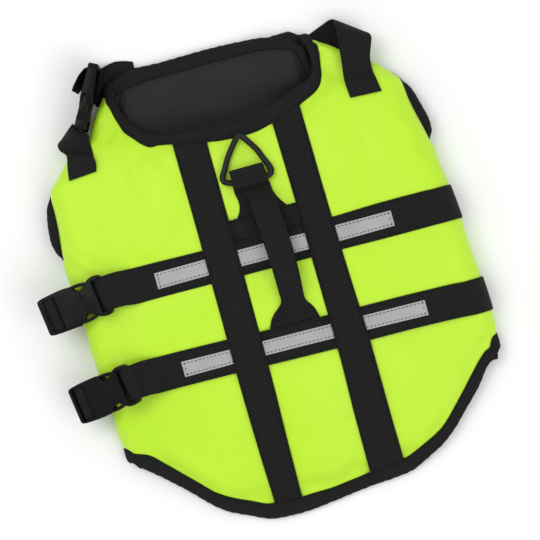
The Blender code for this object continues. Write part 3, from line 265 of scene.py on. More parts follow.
def make_webbing_finish():
    made, shader, tree = principled("webbing", (0.008, 0.008, 0.008), 0.6)
    along, around = thread_places(tree)
    place = add(tree, "ShaderNodeCombineXYZ")
    join(tree, around, place.inputs["X"])
    join(tree, along, place.inputs["Y"])
    bricks = add(tree, "ShaderNodeTexBrick", offset=0.5)
    join(tree, place.outputs["Vector"], bricks.inputs["Vector"])
    values = {
        "Scale": 1.0,
        "Mortar Size": BRICK_WIDTH * 0.11,
        "Mortar Smooth": 1.0,
        "Brick Width": BRICK_WIDTH,
        "Row Height": RIB_PITCH,
    }
    set_inputs(bricks, values)
    # Raised floats, with painted shade in the gaps between them.
    float_relief_and_gap_shade = calc(tree, "MULTIPLY_ADD", bricks.outputs["Fac"], -0.6)
    float_relief_and_gap_shade.node.inputs[2].default_value = 1.0
    # Raised ribs, with a painted highlight on their tops and painted shade in the grooves.
    rib_relief_and_highlight = wave(tree, along, RIB_PITCH, -math.pi / 2)
    mottle_and_gap_shade = calc(tree, "MULTIPLY", object_noise(tree, 900.0, 2.0), float_relief_and_gap_shade)
    mottle_and_painted_rib_light = calc(tree, "MULTIPLY", mottle_and_gap_shade, rib_relief_and_highlight)
    # The colour: random mottle, painted shade in gaps and grooves, and a painted highlight on the
    # rib tops.
    blend_colors(tree, shader, mottle_and_painted_rib_light, (0.003, 0.003, 0.003), (0.032, 0.032, 0.031))
    raise_grain(tree, shader, calc(tree, "ADD", float_relief_and_gap_shade, rib_relief_and_highlight), 0.00013)
    shader.inputs["Specular IOR Level"].default_value = 0.10
    return made


webbing_finish = make_webbing_finish()

# %% [markdown]
# ### Binding tape and lining
# The tape folded over the edges is a twill, whose fine diagonal lines cross the tape; its colour is
# painted lighter along them, a painted highlight.  The lining is a smooth black cloth with hardly
# any weave to see.

# %% Binding tape and lining
TWILL_PITCH = 0.0013


def make_twill_finish():
    made, shader, tree = principled("binding_tape", (0.012, 0.012, 0.013), 0.7)
    along, around = thread_places(tree)
    slant = calc(tree, "ADD", along, around)
    lines = wave(tree, slant, TWILL_PITCH)
    cross = wave(tree, calc(tree, "SUBTRACT", along, around), TWILL_PITCH * 1.9)
    relief = calc(tree, "MULTIPLY_ADD", cross, 0.35)
    join(tree, lines, relief.node.inputs[2])
    # Painted highlight along the twill's raised lines, with random flecks.
    wale_highlight_and_fleck = calc(tree, "MULTIPLY", lines, object_noise(tree, 700.0, 2.0))
    blend_colors(tree, shader, wale_highlight_and_fleck, (0.007, 0.007, 0.007), (0.027, 0.027, 0.027))
    raise_grain(tree, shader, relief, 0.00014)
    shader.inputs["Specular IOR Level"].default_value = 0.09
    return made


def make_lining_finish():
    made, shader, tree = principled("lining", (0.02, 0.02, 0.022), 0.66)
    along, around = thread_places(tree)
    weave = calc(tree, "MULTIPLY", wave(tree, along, THREAD), wave(tree, around, THREAD))
    tone = object_noise(tree, 14.0)
    blend_colors(tree, shader, tone, (0.018, 0.018, 0.018), (0.027, 0.026, 0.0262))
    raise_grain(tree, shader, weave, 0.00007)
    set_inputs(shader, {"Specular IOR Level": 0.1, "Sheen Weight": 0.03})
    return made


twill = make_twill_finish()
lining_finish = make_lining_finish()

# %% [markdown]
# ### Reflective tape, plastic, painted wire and thread
# Reflective tape is grey with a grain of tiny glass beads.  The buckles are moulded plastic with a
# satin skin, the ring is wire under black paint, and the thread is spun, so it gets fine turns.

# %% Reflective tape, plastic, wire and thread


def make_reflective():
    made, shader, tree = principled("reflective_tape", (0.5, 0.5, 0.51), 0.38)
    place = add(tree, "ShaderNodeTexCoord")
    beads = add(tree, "ShaderNodeTexVoronoi")
    beads.inputs["Scale"].default_value = 1900.0
    join(tree, place.outputs["Object"], beads.inputs["Vector"])
    tone = calc(tree, "MULTIPLY_ADD", beads.outputs["Distance"], 0.35)
    join(tree, object_noise(tree, 45.0), tone.node.inputs[2])
    blend_colors(tree, shader, tone, (0.42, 0.42, 0.42), (0.31, 0.31, 0.315))
    raise_grain(tree, shader, beads.outputs["Distance"], 0.00004)
    shader.inputs["Specular IOR Level"].default_value = 0.6
    return made


def make_plastic():
    made, shader, tree = principled("black_plastic", (0.012, 0.012, 0.013), 0.36)
    fine = object_noise(tree, 1500.0, 2.0)
    wear = object_noise(tree, 60.0)
    blend_colors(tree, shader, wear, (0.003, 0.003, 0.003), (0.006, 0.006, 0.006))
    rough = calc(tree, "MULTIPLY_ADD", wear, 0.16)
    rough.node.inputs[2].default_value = 0.28
    join(tree, rough, shader.inputs["Roughness"])
    raise_grain(tree, shader, fine, 0.000012)
    shader.inputs["Specular IOR Level"].default_value = 0.12
    return made


def make_painted_wire():
    made, shader, tree = principled("black_metal", (0.006, 0.006, 0.006), 0.42)
    wear = object_noise(tree, 120.0)
    blend_colors(tree, shader, wear, (0.004, 0.004, 0.004), (0.009, 0.009, 0.009))
    raise_grain(tree, shader, wear, 0.00003)
    shader.inputs["Specular IOR Level"].default_value = 0.25
    return made


def make_thread():
    made, shader, tree = principled("black_thread", (0.02, 0.02, 0.02), 0.6)
    turns = object_noise(tree, 2500.0, 1.0)
    blend_colors(tree, shader, turns, (0.001, 0.001, 0.001), (0.008, 0.008, 0.008))
    shader.inputs["Specular IOR Level"].default_value = 0.1
    return made


reflective = make_reflective()
plastic = make_plastic()
painted_wire = make_painted_wire()
thread = make_thread()
print("finishes:", sorted(material.name for material in bpy.data.materials))

# %% [markdown]
# ## The body's form
# The jacket is a tube of padded cloth that lies nearly flat: a back, two side folds and an
# underside.  A few tables of measurements in millimetres fix its form, and a smooth curve through
# each column gives the places between.  Sculpting by hand would do it too, but a table keeps the
# cut symmetrical where it should be, and the same curves place the straps, tapes and seams.

# %% Sizes
SEAM = 0.3  # gap at a seam
WEBBING = 1.3  # thickness of the webbing
WEBBING_WIDTH = 29.4
STRIP = 0.6  # thickness of the reflective tape
BACK_FOAM = 9.0  # back panel, cloth and foam together
BELLY_FOAM = 7.0
BOUND_EDGE = 3.4  # thickness of a panel where it is pinched into its binding
EDGE_DROP = 2.6  # how far the back's outer face sinks towards a bound edge
PINCH_WIDTH = 14.0  # width over which the foam thins out to an edge
FOLD_ROOM = 0.62  # share of a side fold's radius that the foam may fill
TABLE_ROOM = 1.2  # least height of the back's inner face over the table
BELT_TROUGH = WEBBING + SEAM  # how far the underside is hollowed where a belt crosses it
BELT_SPANS = ((-61, -23), (22, 61))  # rear and front of the belts under the body
TROUGH_SLOPE = 3  # width over which a hollow reaches its depth
REAR_LEFT, REAR_RIGHT = -91.0, -80.5  # where the hem rounds the side folds
REAR_BLEND = -72  # from this y on, the rows no longer follow the slant of that hem
SHOULDER_TIP = 210.0
UNDER_TURN = 2.12  # how far round the back panel's side edges reach
FOLD_START = 1.2  # from here round a fold, the columns share out the way to that edge

# %% The tube's folds
FOLDS = (
    # y, left x, right x, side height, underside, crown
    (-185, -161.0, 178.0, 8.0, 0.0, 0.0),
    (-169, -161.0, 178.0, 8.0, 0.0, 0.0),
    (-150, -161.0, 178.2, 10.5, 0.0, 5.0),
    (-120, -161.3, 178.6, 14.5, 0.0, 11.0),
    (-91, -162.0, 179.0, 20.0, 0.0, 14.0),
    (-60, -163.5, 179.0, 29.0, 0.0, 10.5),
    (-25, -165.0, 177.5, 36.0, 0.0, 6.5),
    (20, -166.7, 174.8, 38.0, 0.0, 5.0),
    (60, -168.0, 171.5, 38.0, 0.0, 5.0),
    (85, -168.3, 169.0, 37.5, 0.0, 5.0),
    (110, -166.5, 165.5, 37.0, 0.0, 5.0),
    (125, -165.5, 162.5, 36.0, 0.0, 5.0),
    (138, -165.0, 160.0, 34.8, 0.0, 5.0),
    (155, -150.0, 157.5, 31.5, 0.0, 4.5),
    (163, -142.0, 151.0, 29.5, 0.4, 4.0),
    (178, -119.5, 134.0, 25.0, 2.2, 2.0),
    (190, -112.5, 119.5, 22.5, 3.0, 0.0),
    (201, -105.0, 105.5, 20.0, 3.0, 0.0),
    (210, -98.0, 93.0, 17.5, 3.0, 0.0),
    (226, -92.0, 87.0, 16.0, 3.0, 0.0),
)

# %% Neckline and hem
NECK = (
    # cloth x, y, free x, y
    (-98.0, 210.0, -91.5, 214.5),
    (-94.6, 204.6, -86.5, 206.5),
    (-93.0, 198.6, -86.0, 200.0),
    (-91.0, 188.6, -84.3, 190.5),
    (-87.0, 176.6, -79.5, 181.5),
    (-83.0, 171.1, -75.0, 176.5),
    (-79.0, 166.6, -71.5, 172.5),
    (-72.0, 159.3, -66.5, 168.0),
    (-67.0, 156.4, -62.0, 166.0),
    (-62.0, 156.6, -58.0, 165.0),
    (-57.0, 155.6, -54.0, 163.8),
    (-50.0, 154.4, -48.0, 162.6),
    (-35.0, 151.0, -34.0, 160.5),
    (-20.0, 148.2, -19.0, 159.0),
    (-10.0, 146.2, -10.0, 158.3),
    (0.0, 145.4, 0.0, 157.5),
    (15.0, 144.8, 16.0, 155.8),
    (25.0, 145.6, 24.0, 157.0),
    (37.0, 148.7, 34.0, 160.4),
    (50.0, 153.0, 46.0, 165.0),
    (65.0, 158.0, 60.0, 170.0),
    (72.0, 161.0, 67.0, 172.5),
    (80.0, 164.5, 74.0, 175.0),
    (86.0, 169.5, 79.5, 177.5),
    (89.5, 176.0, 82.5, 180.5),
    (91.5, 186.0, 84.3, 187.5),
    (93.3, 196.0, 85.3, 196.0),
    (94.0, 203.0, 85.0, 204.0),
    (93.0, 210.0, 87.0, 215.3),
)
HEM = (
    # cloth x, y, free x, y
    (-162.3, -93.4, -161.3, -106.4),
    (-158.1, -95.5, -156.1, -109.1),
    (-150.0, -99.0, -150.0, -111.1),
    (-141.7, -102.1, -147.7, -113.1),
    (-135.8, -107.5, -142.8, -117.0),
    (-129.5, -113.6, -136.0, -122.6),
    (-119.5, -123.7, -126.5, -131.4),
    (-106.3, -137.0, -114.3, -143.0),
    (-95.9, -147.9, -102.9, -154.9),
    (-88.7, -153.1, -95.2, -162.1),
    (-80.6, -158.1, -86.1, -168.4),
    (-65.5, -165.4, -69.5, -176.4),
    (-55.5, -170.3, -58.5, -181.8),
    (-47.3, -172.3, -48.8, -184.5),
    (-23.4, -173.3, -25.4, -185.6),
    (-10.1, -172.6, -10.6, -184.8),
    (0.0, -172.6, 0.0, -183.3),
    (20.1, -170.6, 20.6, -180.9),
    (39.2, -168.3, 40.2, -178.8),
    (55.2, -166.8, 56.2, -178.0),
    (71.5, -164.9, 74.5, -176.0),
    (81.0, -161.6, 86.0, -171.3),
    (91.1, -157.0, 96.1, -166.3),
    (101.0, -152.5, 107.0, -160.8),
    (111.1, -146.5, 118.1, -152.5),
    (126.1, -132.0, 133.1, -138.0),
    (141.3, -116.0, 149.3, -122.0),
    (156.8, -99.4, 163.3, -104.4),
    (166.8, -91.5, 171.3, -101.3),
    (173.0, -86.5, 175.5, -99.5),
    (179.8, -82.9, 179.4, -96.9),
)

# %% Seams, chest and leg holes
UNDER_SEAM = (
    # y, left x, right x
    (-91, -131.0, 141.0),
    (-40, -132.0, 139.0),
    (25, -132.0, 136.0),
    (80, -133.0, 133.0),
    (143, -127.0, 127.0),
    (158, -118.5, 108.0),
    (166, -111.0, 93.0),
    (177, -98.0, 84.5),
    (190, -91.0, 81.0),
    (205, -83.0, 78.5),
    (226, -78.0, 76.0),
)
CHEST_RIGHT = (
    # y, x
    (148, 150.0),
    (158, 118.0),
    (166, 92.7),
    (171, 81.5),
    (178, 78.0),
    (190, 77.0),
    (200, 76.0),
    (214, 73.5),
)
CHEST_START = 166  # from this y on, the rows turn towards the chest's front edge
CHEST_LIFT = 5.4  # how far its right corner rides above the shoulder's end
CHEST_LIFT_START = (30, 160)  # x and y at which that rise starts
CHEST_LIFT_RUN = (32, 22)  # lengths along x and y over which it is complete
CHEST_FRONT = (
    # share of the width, y
    (0.0, 210.0),
    (0.06, 211.6),
    (0.16, 213.0),
    (0.5, 213.3),
    (0.78, 212.4),
    (0.9, 209.4),
    (0.96, 206.0),
    (1.0, 200.0),
)
CHEST_BINDING_REACH = (
    # share of the chest's width, to the right, forwards, up
    (0.0, -1.0, 12.5, 2.4),
    (0.05, -3.0, 13.8, 2.2),
    (0.12, -4.0, 14.4, 0.8),
    (0.25, -0.5, 13.0, 0.0),
    (0.5, 0.0, 13.1, 0.0),
    (0.8, 0.6, 11.8, 0.0),
    (0.9, 3.6, 10.6, 0.0),
    (0.96, 6.0, 7.6, 0.0),
    (1.0, 7.8, 4.6, 0.0),
)
LegHole = namedtuple("LegHole", "side middle half_length depth")
LEG_HOLES = (LegHole(-1, 110.5, 32.0, 36.0), LegHole(1, 128.0, 33.0, 36.0))
LEG_HOLE_FOLD = 1.45  # how far round the side fold the hole's upper edge lies; 1.5 is outermost
LEG_HOLE_SQUARENESS = 0.15  # 0.5 would make a hole's outline an ellipse, less makes it squarer

# %% A smooth curve through a table's column


class Column:
    """One column of a table against its first, on a smooth curve that never overshoots its rows."""

    def __init__(self, rows, column):
        table = np.array(rows, float)
        self.places = table[:, 0]
        self.values = table[:, column]
        steps = np.diff(self.values) / np.diff(self.places)
        self.slopes = np.zeros(len(self.places))
        self.slopes[0] = steps[0]
        self.slopes[-1] = steps[-1]
        steady = steps[:-1] * steps[1:] > 0
        both = steps[:-1] + steps[1:]
        both[~steady] = 1
        self.slopes[1:-1] = np.where(steady, 2 * steps[:-1] * steps[1:] / both, 0)

    def __call__(self, place):
        place = min(max(place, self.places[0]), self.places[-1])
        k = int(np.searchsorted(self.places, place, side="right")) - 1
        k = min(k, len(self.places) - 2)
        span = self.places[k + 1] - self.places[k]
        t = (place - self.places[k]) / span
        rise = self.values[k + 1] - self.values[k]
        curve = t * t * (3 - 2 * t) * rise
        start = t * (1 - t) ** 2 * span * self.slopes[k]
        end = t * t * (t - 1) * span * self.slopes[k + 1]
        return float(self.values[k] + curve + start + end)


left_fold, right_fold, side_height, underside, crown = (Column(FOLDS, k) for k in range(1, 6))
seam_left, seam_right = Column(UNDER_SEAM, 1), Column(UNDER_SEAM, 2)
chest_front, chest_right = Column(CHEST_FRONT, 1), Column(CHEST_RIGHT, 1)


def smooth(t):
    t = min(max(t, 0.0), 1.0)
    return t * t * (3 - 2 * t)


def mix(a, b, t):
    return a + (b - a) * t


# %% The outer surface


def section(y):
    """Middle, half-width of the flat part, radius of the side folds and height of the underside."""
    left, right, bottom = left_fold(y), right_fold(y), underside(y)
    radius = (side_height(y) - bottom) / 2
    return (left + right) / 2, (right - left) / 2 - radius, radius, bottom


def trough(y):
    """1 where a belt crosses the underside, 0 elsewhere."""
    slope = TROUGH_SLOPE
    return max(
        smooth(min((y - rear + slope) / slope, (front + slope - y) / slope, 1))
        for rear, front in BELT_SPANS
    )


def skin(across, y, out=0.0):
    """A point of the outer surface.

    Across is 0 on the spine, 1 where a side fold starts, 1.5 on its outermost line and 2 where it
    ends under the body.  It is negative on the left.
    """
    middle, flat, radius, bottom = section(y)
    side = math.copysign(1, across)
    reach = abs(across)
    hollow = BELT_TROUGH * trough(y) * smooth((reach - 1.5) / 0.5)
    if reach <= 1:
        rise = crown(y) * (1 - reach**2) ** 1.5
        return (middle + side * reach * flat, y, bottom + 2 * radius + rise + out)
    if reach <= 2:
        turn = (reach - 1) * math.pi
        x = middle + side * (flat + (radius + out) * math.sin(turn))
        return (x, y, bottom + radius + (radius + out) * math.cos(turn) + hollow)
    return (middle + side * flat * (3 - reach), y, bottom - out + hollow)


def across_at(x, y):
    """The place across the upper half of the body of a point seen from above."""
    middle, flat, radius, _ = section(y)
    reach = abs(x - middle)
    if reach <= flat:
        place = reach / flat
    else:
        place = 1 + math.asin(min(1.0, (reach - flat) / radius)) / math.pi
    return math.copysign(place, x - middle)


def girth(across, y):
    """Length along the section from where the side fold starts."""
    _, flat, radius, _ = section(y)
    reach = abs(across)
    if reach <= 2:
        return (reach - 1) * math.pi * radius
    return math.pi * radius + (reach - 2) * flat


def under_place(x, y):
    """The place across of a point on the underside."""
    middle, flat, _, _ = section(y)
    return 3 - abs(x - middle) / flat


def hole_share(y, side):
    """1 in the middle of the leg hole of that side, 0 at its ends and beyond."""
    for hole in LEG_HOLES:
        if hole.side == side:
            t = (y - hole.middle) / hole.half_length
            return max(0.0, 1 - t * t) ** LEG_HOLE_SQUARENESS
    return 0.0


def back_edge(y, side):
    """The place across of the back panel's turned-under edge."""
    seam = under_place(seam_left(y) if side < 0 else seam_right(y), y)
    return mix(seam, LEG_HOLE_FOLD, hole_share(y, side))


# %% Places of the edges
NECK_PLACES = [across_at(x, y) for x, y, _, _ in NECK]
HEM_PLACES = [across_at(x, y) for x, y, _, _ in HEM]
neck_y = Column(list(zip(NECK_PLACES, [row[1] for row in NECK])), 1)
hem_y = Column(list(zip(HEM_PLACES, [row[1] for row in HEM])), 1)
print("neckline from", round(NECK_PLACES[0], 2), "to", round(NECK_PLACES[-1], 2))


def rim_distance(x, y):
    """Distance, as seen from above, to the nearer of neckline and hem."""
    nearest = 1e9
    for table in (NECK, HEM):
        line = np.array(table, float)[:, :2]
        start, end = line[:-1], line[1:]
        along = end - start
        t = (x - start[:, 0]) * along[:, 0] + (y - start[:, 1]) * along[:, 1]
        t /= (along**2).sum(axis=1)
        close = start + along * np.clip(t, 0, 1)[:, None]
        nearest = min(nearest, float(np.hypot(close[:, 0] - x, close[:, 1] - y).min()))
    return nearest


def rear_y(side):
    """The hem's y on the side fold of that side."""
    return REAR_LEFT if side < 0 else REAR_RIGHT


def fullness(across, y):
    """0 at a bound edge of the back panel, 1 where the foam is whole."""
    reach = abs(across)
    side = math.copysign(1, across)
    distances = []
    if reach <= 1.5:
        x, _, _ = skin(across, y)
        distances.append(rim_distance(x, y))
    else:
        distances += [y - rear_y(side), SHOULDER_TIP - y]
    if reach > 1:
        distances.append(girth(back_edge(y, side), y) - girth(across, y))
    return smooth(min(distances) / PINCH_WIDTH)


def back_drop(across, y):
    """How far the outer face of the back sinks under the body's full outline near a bound edge."""
    on_top = 1 - smooth((abs(across) - 1.3) / 0.4)
    return EDGE_DROP * on_top * (1 - fullness(across, y))


def back_thickness(across, y):
    """The back panel's thickness, less in tight side folds and where the body is low."""
    room = max(FOLD_ROOM * section(y)[2], BOUND_EDGE)
    in_fold = smooth((abs(across) - 0.7) / 0.3)
    thickness = mix(BOUND_EDGE, min(BACK_FOAM, mix(BACK_FOAM, room, in_fold)), fullness(across, y))
    if abs(across) > 1:
        return thickness
    return min(thickness, skin(across, y)[2] - back_drop(across, y) - TABLE_ROOM)


# %% [markdown]
# ## The padded back
# The back is one foam panel whose edges are pinched into their tapes.  A fine grid of rows along
# the body and columns round it gives its two faces, and the cloth between the sewn lines then
# swells as foam presses it.

# %% The back's grid
BODY_START, BODY_END = -91.0, 210.0  # nominal places of the first and last rows


def spread(start, end, spacing):
    """Even places from start to end, about that far apart."""
    return np.linspace(start, end, max(2, round(abs(end - start) / spacing) + 1)).tolist()


ROWS = spread(BODY_START, BODY_END, 4.1)
HALF = spread(0, 1, 0.03)[:-1] + spread(1, FOLD_START, 0.067)[:-1]
HALF += spread(FOLD_START, UNDER_TURN, 0.061)
COLUMNS = [-reach for reach in reversed(HALF[1:])] + HALF


def to_edge(reach, y, side):
    """A column's place across, once the columns round the fold share out the way to the edge."""
    if reach <= FOLD_START:
        return reach
    return mix(FOLD_START, back_edge(y, side), (reach - FOLD_START) / (UNDER_TURN - FOLD_START))


def slanted(nominal, rear):
    """The least y of a row, where the first row lies at the rear given."""
    return mix(rear, REAR_BLEND, (nominal - BODY_START) / (REAR_BLEND - BODY_START))


def back_place(column, nominal):
    """Place across and y of a point of the back, from its column and its row's nominal y."""
    side = math.copysign(1, column)
    reach = abs(column)
    share = (nominal - BODY_START) / (BODY_END - BODY_START)
    on_top = mix(hem_y(column), neck_y(column), share)
    on_side = max(nominal, slanted(nominal, rear_y(side)))
    y = mix(on_top, on_side, smooth((reach - 1) / 0.5))
    return side * to_edge(reach, y, side), y


def back_grids():
    """Outer and inner faces of the back panel, row by row from the hem to the neckline."""
    outer, inner = [], []
    for nominal in ROWS:
        places = [back_place(column, nominal) for column in COLUMNS]
        drops = [back_drop(a, y) for a, y in places]
        outer.append([skin(a, y, -drop) for (a, y), drop in zip(places, drops)])
        inner.append(
            [skin(a, y, -drop - back_thickness(a, y)) for (a, y), drop in zip(places, drops)]
        )
    return outer, inner


back = back_grids()
print("back grid:", len(ROWS), "rows by", len(COLUMNS), "columns")

# %% A panel's mesh
PILE = []  # everything laid down so far, for the next layer to rest on


def outward(points, faces):
    """Faces that point out of a closed mesh."""
    places = np.array(points, float)
    volume = 0.0
    for face in faces:
        a, b, c = places[face[0]], places[face[1]], places[face[2]]
        volume += a.dot(np.cross(b, c))
        if len(face) == 4:
            volume += a.dot(np.cross(c, places[face[3]]))
    return faces if volume > 0 else [tuple(reversed(face)) for face in faces]


def keep_places(mesh, name, values):
    """A number for each point, for the finishes to read."""
    attribute = mesh.attributes.new(name, "FLOAT", "POINT")
    attribute.data.foreach_set("value", np.array(values, np.float32))


def cloth_object(name, points, faces, along, around, materials):
    """A piece from points in millimetres, with its threads' places in metres and its finishes."""
    mesh = bpy.data.meshes.new(name)
    mesh.from_pydata([Vector(point) * MM for point in points], [], outward(points, faces))
    keep_places(mesh, "along", np.array(along) * MM)
    keep_places(mesh, "around", np.array(around) * MM)
    for material in materials:
        mesh.materials.append(material)
    mesh.shade_smooth()
    mesh.update()
    return new_object(name, mesh)


def add_to_pile(obj):
    """Lets later layers rest on a piece."""
    mesh = obj.data
    places = np.empty(len(mesh.vertices) * 3)
    mesh.vertices.foreach_get("co", places)
    points = (places.reshape(-1, 3) / MM).tolist()
    PILE.append(BVHTree.FromPolygons(points, [tuple(face.vertices) for face in mesh.polygons]))


def panel(name, grids, materials):
    """A padded panel between an outer and an inner grid, closed round its four edges.

    Its outer face has the first finish, its inner face and its edges the second.
    """
    outer = grids[0]
    rows, columns = len(outer), len(outer[0])
    half = rows * columns
    points = [point for grid in grids for row in grid for point in row]
    faces, inside = [], []
    for r in range(rows - 1):
        for c in range(columns - 1):
            near, far = r * columns + c, (r + 1) * columns + c
            quad = (near, near + 1, far + 1, far)
            faces += [quad, tuple(half + k for k in reversed(quad))]
            inside += [0, 1]
    rim = list(range(columns)) + [r * columns + columns - 1 for r in range(1, rows)]
    rim += [(rows - 1) * columns + c for c in range(columns - 2, -1, -1)]
    rim += [r * columns for r in range(rows - 2, 0, -1)]
    for a, b in zip(rim, rim[1:] + rim[:1]):
        faces.append((b, a, half + a, half + b))
        inside.append(1)
    grid = np.array(outer)
    across = np.linalg.norm(np.diff(grid, axis=1, prepend=grid[:, :1]), axis=2).cumsum(axis=1)
    across -= across[:, columns // 2][:, None]
    along = grid[:, :, 1]
    threads = [np.tile(places.ravel(), 2) for places in (along, across)]
    made = cloth_object(name, points, faces, *threads, materials)
    made.data.polygons.foreach_set("material_index", inside)
    return made


# %% [markdown]
# ### Swelling and creases
# Foam swells between seams and is pinned down under every strap.  Blender's cloth simulation finds
# that crowned form with its small tucks; a subdivided box would look inflated and even instead.
# The swelling is capped, since the foam is a flat sheet.  The main creases come after it, at
# their own places.

# %% Strap tables
BACK_STRAP_LEFT = (
    # y, left x, right x
    (-170, -47.1, -23.0),
    (-120, -48.1, -22.0),
    (-60, -48.6, -20.5),
    (60, -48.4, -20.0),
    (154, -49.1, -20.4),
)
BACK_STRAP_RIGHT = (
    # y, left x, right x
    (-165, 39.9, 71.0),
    (-120, 39.9, 70.0),
    (-60, 40.9, 69.5),
    (0, 40.4, 67.6),
    (60, 39.9, 66.0),
    (158, 38.4, 65.0),
)
BELT_FRONT = (
    # x, front y, rear y
    (-146, 59.3, 29.1),
    (-125, 59.1, 28.7),
    (-100, 58.7, 28.7),
    (-50, 57.4, 28.1),
    (0, 56.9, 27.6),
    (66, 55.7, 26.9),
    (110, 56.5, 26.0),
    (174, 55.7, 25.6),
)
BELT_FRONT_UNDER = (
    # x, front y, rear y
    (-150, 52.5, 23.0),
    (174, 57.0, 27.4),
)
BELT_REAR = (
    # x, front y, rear y
    (-146, -20.2, -50.2),
    (-125, -20.0, -50.3),
    (-100, -20.4, -50.4),
    (-50, -21.7, -51.3),
    (0, -23.4, -52.8),
    (68, -25.0, -54.6),
    (110, -26.0, -55.4),
    (179, -28.5, -58.4),
)
BELT_REAR_UNDER = (
    # x, front y, rear y
    (-150, -26.0, -55.6),
    (179, -28.8, -58.2),
)
STRIP_FRONT = (
    # x, front y, rear y
    (-94, 49.6, 35.9),
    (-50, 49.6, 36.0),
    (0, 49.5, 35.6),
    (66, 48.0, 34.3),
    (116.3, 47.6, 34.4),
)
STRIP_REAR = (
    # x, front y, rear y
    (-92, -29.8, -42.9),
    (-50, -30.7, -43.0),
    (0, -31.6, -43.7),
    (68, -33.1, -45.5),
    (124, -34.4, -47.3),
)
CROSS_BAND = (-25.0, 43.5, 76.0, 47.0)  # left, right, front and rear edges

# %% Creases
CREASES = (
    # half-width, rise, points seen from above
    (7.0, -2.6, ((98, 187), (98, 179), (97, 172), (90, 165), (83, 159))),
    (5.0, -1.6, ((74, 160), (75, 152), (75, 145))),
    (6.0, -1.4, ((-67, 157), (-65, 150), (-62, 141))),
    (11.0, -1.5, ((-93, 158), (-88, 135), (-79, 101))),
    (9.0, 1.4, ((-97, 204), (-102, 190), (-109, 174))),
    (10.0, -1.2, ((-118, 168), (-112, 150), (-110, 128))),
    (8.0, -2.0, ((-138, -102), (-118, -122), (-99, -143))),
    (9.0, 1.3, ((-128, -98), (-108, -118), (-90, -138))),
    (7.0, -1.6, ((-21, -160), (4, -164), (35, -160))),
    (8.0, -1.0, ((-23, -92), (-4, -80), (15, -70))),
    (6.0, -2.2, ((160, -86), (170, -81), (177, -78))),
    (8.0, -1.5, ((80, -151), (92, -149), (104, -143))),
    (9.0, 1.2, ((120, 120), (128, 95), (126, 70))),
    (9.0, -1.0, ((100, 140), (110, 112), (106, 75))),
    (8.0, -1.0, ((-84, 10), (-104, 2), (-126, 4))),
    (8.0, -0.9, ((90, -8), (116, -2), (140, -6))),
    (7.0, -0.9, ((96, -76), (118, -84), (140, -80))),
    (7.0, -0.9, ((-74, -70), (-98, -82), (-116, -84))),
    (6.0, -0.8, ((-14, 128), (4, 133), (26, 130))),
)
SWELL = 2.4  # the most that the foam may rise
PIN_MARGIN = 2.5  # how far beside a strap the cloth is still held down
RING_SEAT = (7.0, 27.0, 76.0, 148.0)  # under the handle's front: middle, half-width, rear, front


def crease_rise(x, y, creases):
    """How far the creases raise or lower a place, and least at their ends."""
    rise = np.zeros_like(x)
    for half_width, depth, line in creases:
        ends = np.array(line, float)
        spans = np.hypot(*np.diff(ends, axis=0).T)
        total = spans.sum()
        best = np.full(x.shape, 1e9)
        run = np.zeros_like(x)
        walked = 0.0
        for start, end, span in zip(ends[:-1], ends[1:], spans):
            step = end - start
            t = ((x - start[0]) * step[0] + (y - start[1]) * step[1]) / span**2
            t = np.clip(t, 0, 1)
            away = np.hypot(x - start[0] - step[0] * t, y - start[1] - step[1] * t)
            nearer = away < best
            best = np.where(nearer, away, best)
            run = np.where(nearer, walked + t * span, run)
            walked += span
        near = np.clip(1 - (best / half_width) ** 2, 0, 1) ** 2
        middle = np.clip(4.0 * np.minimum(run, total - run) / total, 0, 1)
        rise += depth * near * (0.35 + 0.65 * middle)
    return rise


def sewn_down(x, y):
    """Whether a place of the back is held flat: by a strap, a belt, or the handle and the ring."""
    for table in (BELT_FRONT, BELT_REAR):
        if Column(table, 2)(x) - PIN_MARGIN < y < Column(table, 1)(x) + PIN_MARGIN:
            return True
    for table in (BACK_STRAP_LEFT, BACK_STRAP_RIGHT):
        if Column(table, 1)(y) - PIN_MARGIN < x < Column(table, 2)(y) + PIN_MARGIN:
            return True
    left, right, front, rear = CROSS_BAND
    if left < x < right and rear < y < front:
        return True
    middle, half_width, rear, front = RING_SEAT
    return abs(x - middle) < half_width and rear < y < front


# %% Swelling by cloth simulation
SWELL_FRAMES = 20


def point_array(mesh):
    """A mesh's points, in metres."""
    places = np.empty(len(mesh.vertices) * 3, np.float32)
    mesh.vertices.foreach_get("co", places)
    return places.reshape(-1, 3)


def swell(obj, pinned, limit):
    """Lets a panel's free points swell under pressure, no further than the limit in millimetres."""
    before = point_array(obj.data)
    group = obj.vertex_groups.new(name="sewn")
    group.add(pinned, 1.0, "REPLACE")
    modifier = obj.modifiers.new("Cloth", "CLOTH")
    cloth = modifier.settings
    cloth.quality = 4
    cloth.mass = 0.15
    cloth.use_pressure = True
    cloth.uniform_pressure_force = 4
    cloth.shrink_min = -0.02
    cloth.tension_stiffness = 12
    cloth.compression_stiffness = 12
    cloth.bending_stiffness = 0.6
    cloth.vertex_group_mass = "sewn"
    cloth.effector_weights.gravity = 0
    modifier.collision_settings.use_collision = False
    modifier.point_cache.frame_start = 1
    modifier.point_cache.frame_end = SWELL_FRAMES
    for frame_number in range(1, SWELL_FRAMES + 1):
        scene.frame_set(frame_number)
    shaped = obj.evaluated_get(bpy.context.evaluated_depsgraph_get())
    moved = point_array(shaped.data) - before
    obj.modifiers.remove(modifier)
    scene.frame_set(1)
    obj.vertex_groups.clear()
    length = np.linalg.norm(moved, axis=1)
    capped = limit * MM * np.tanh(length / (limit * MM))
    moved *= (capped / np.maximum(length, 1e-9))[:, None]
    obj.data.vertices.foreach_set("co", (before + moved).ravel())
    print(obj.name, "swelled by up to", round(float(capped.max()) / MM, 2), "mm")


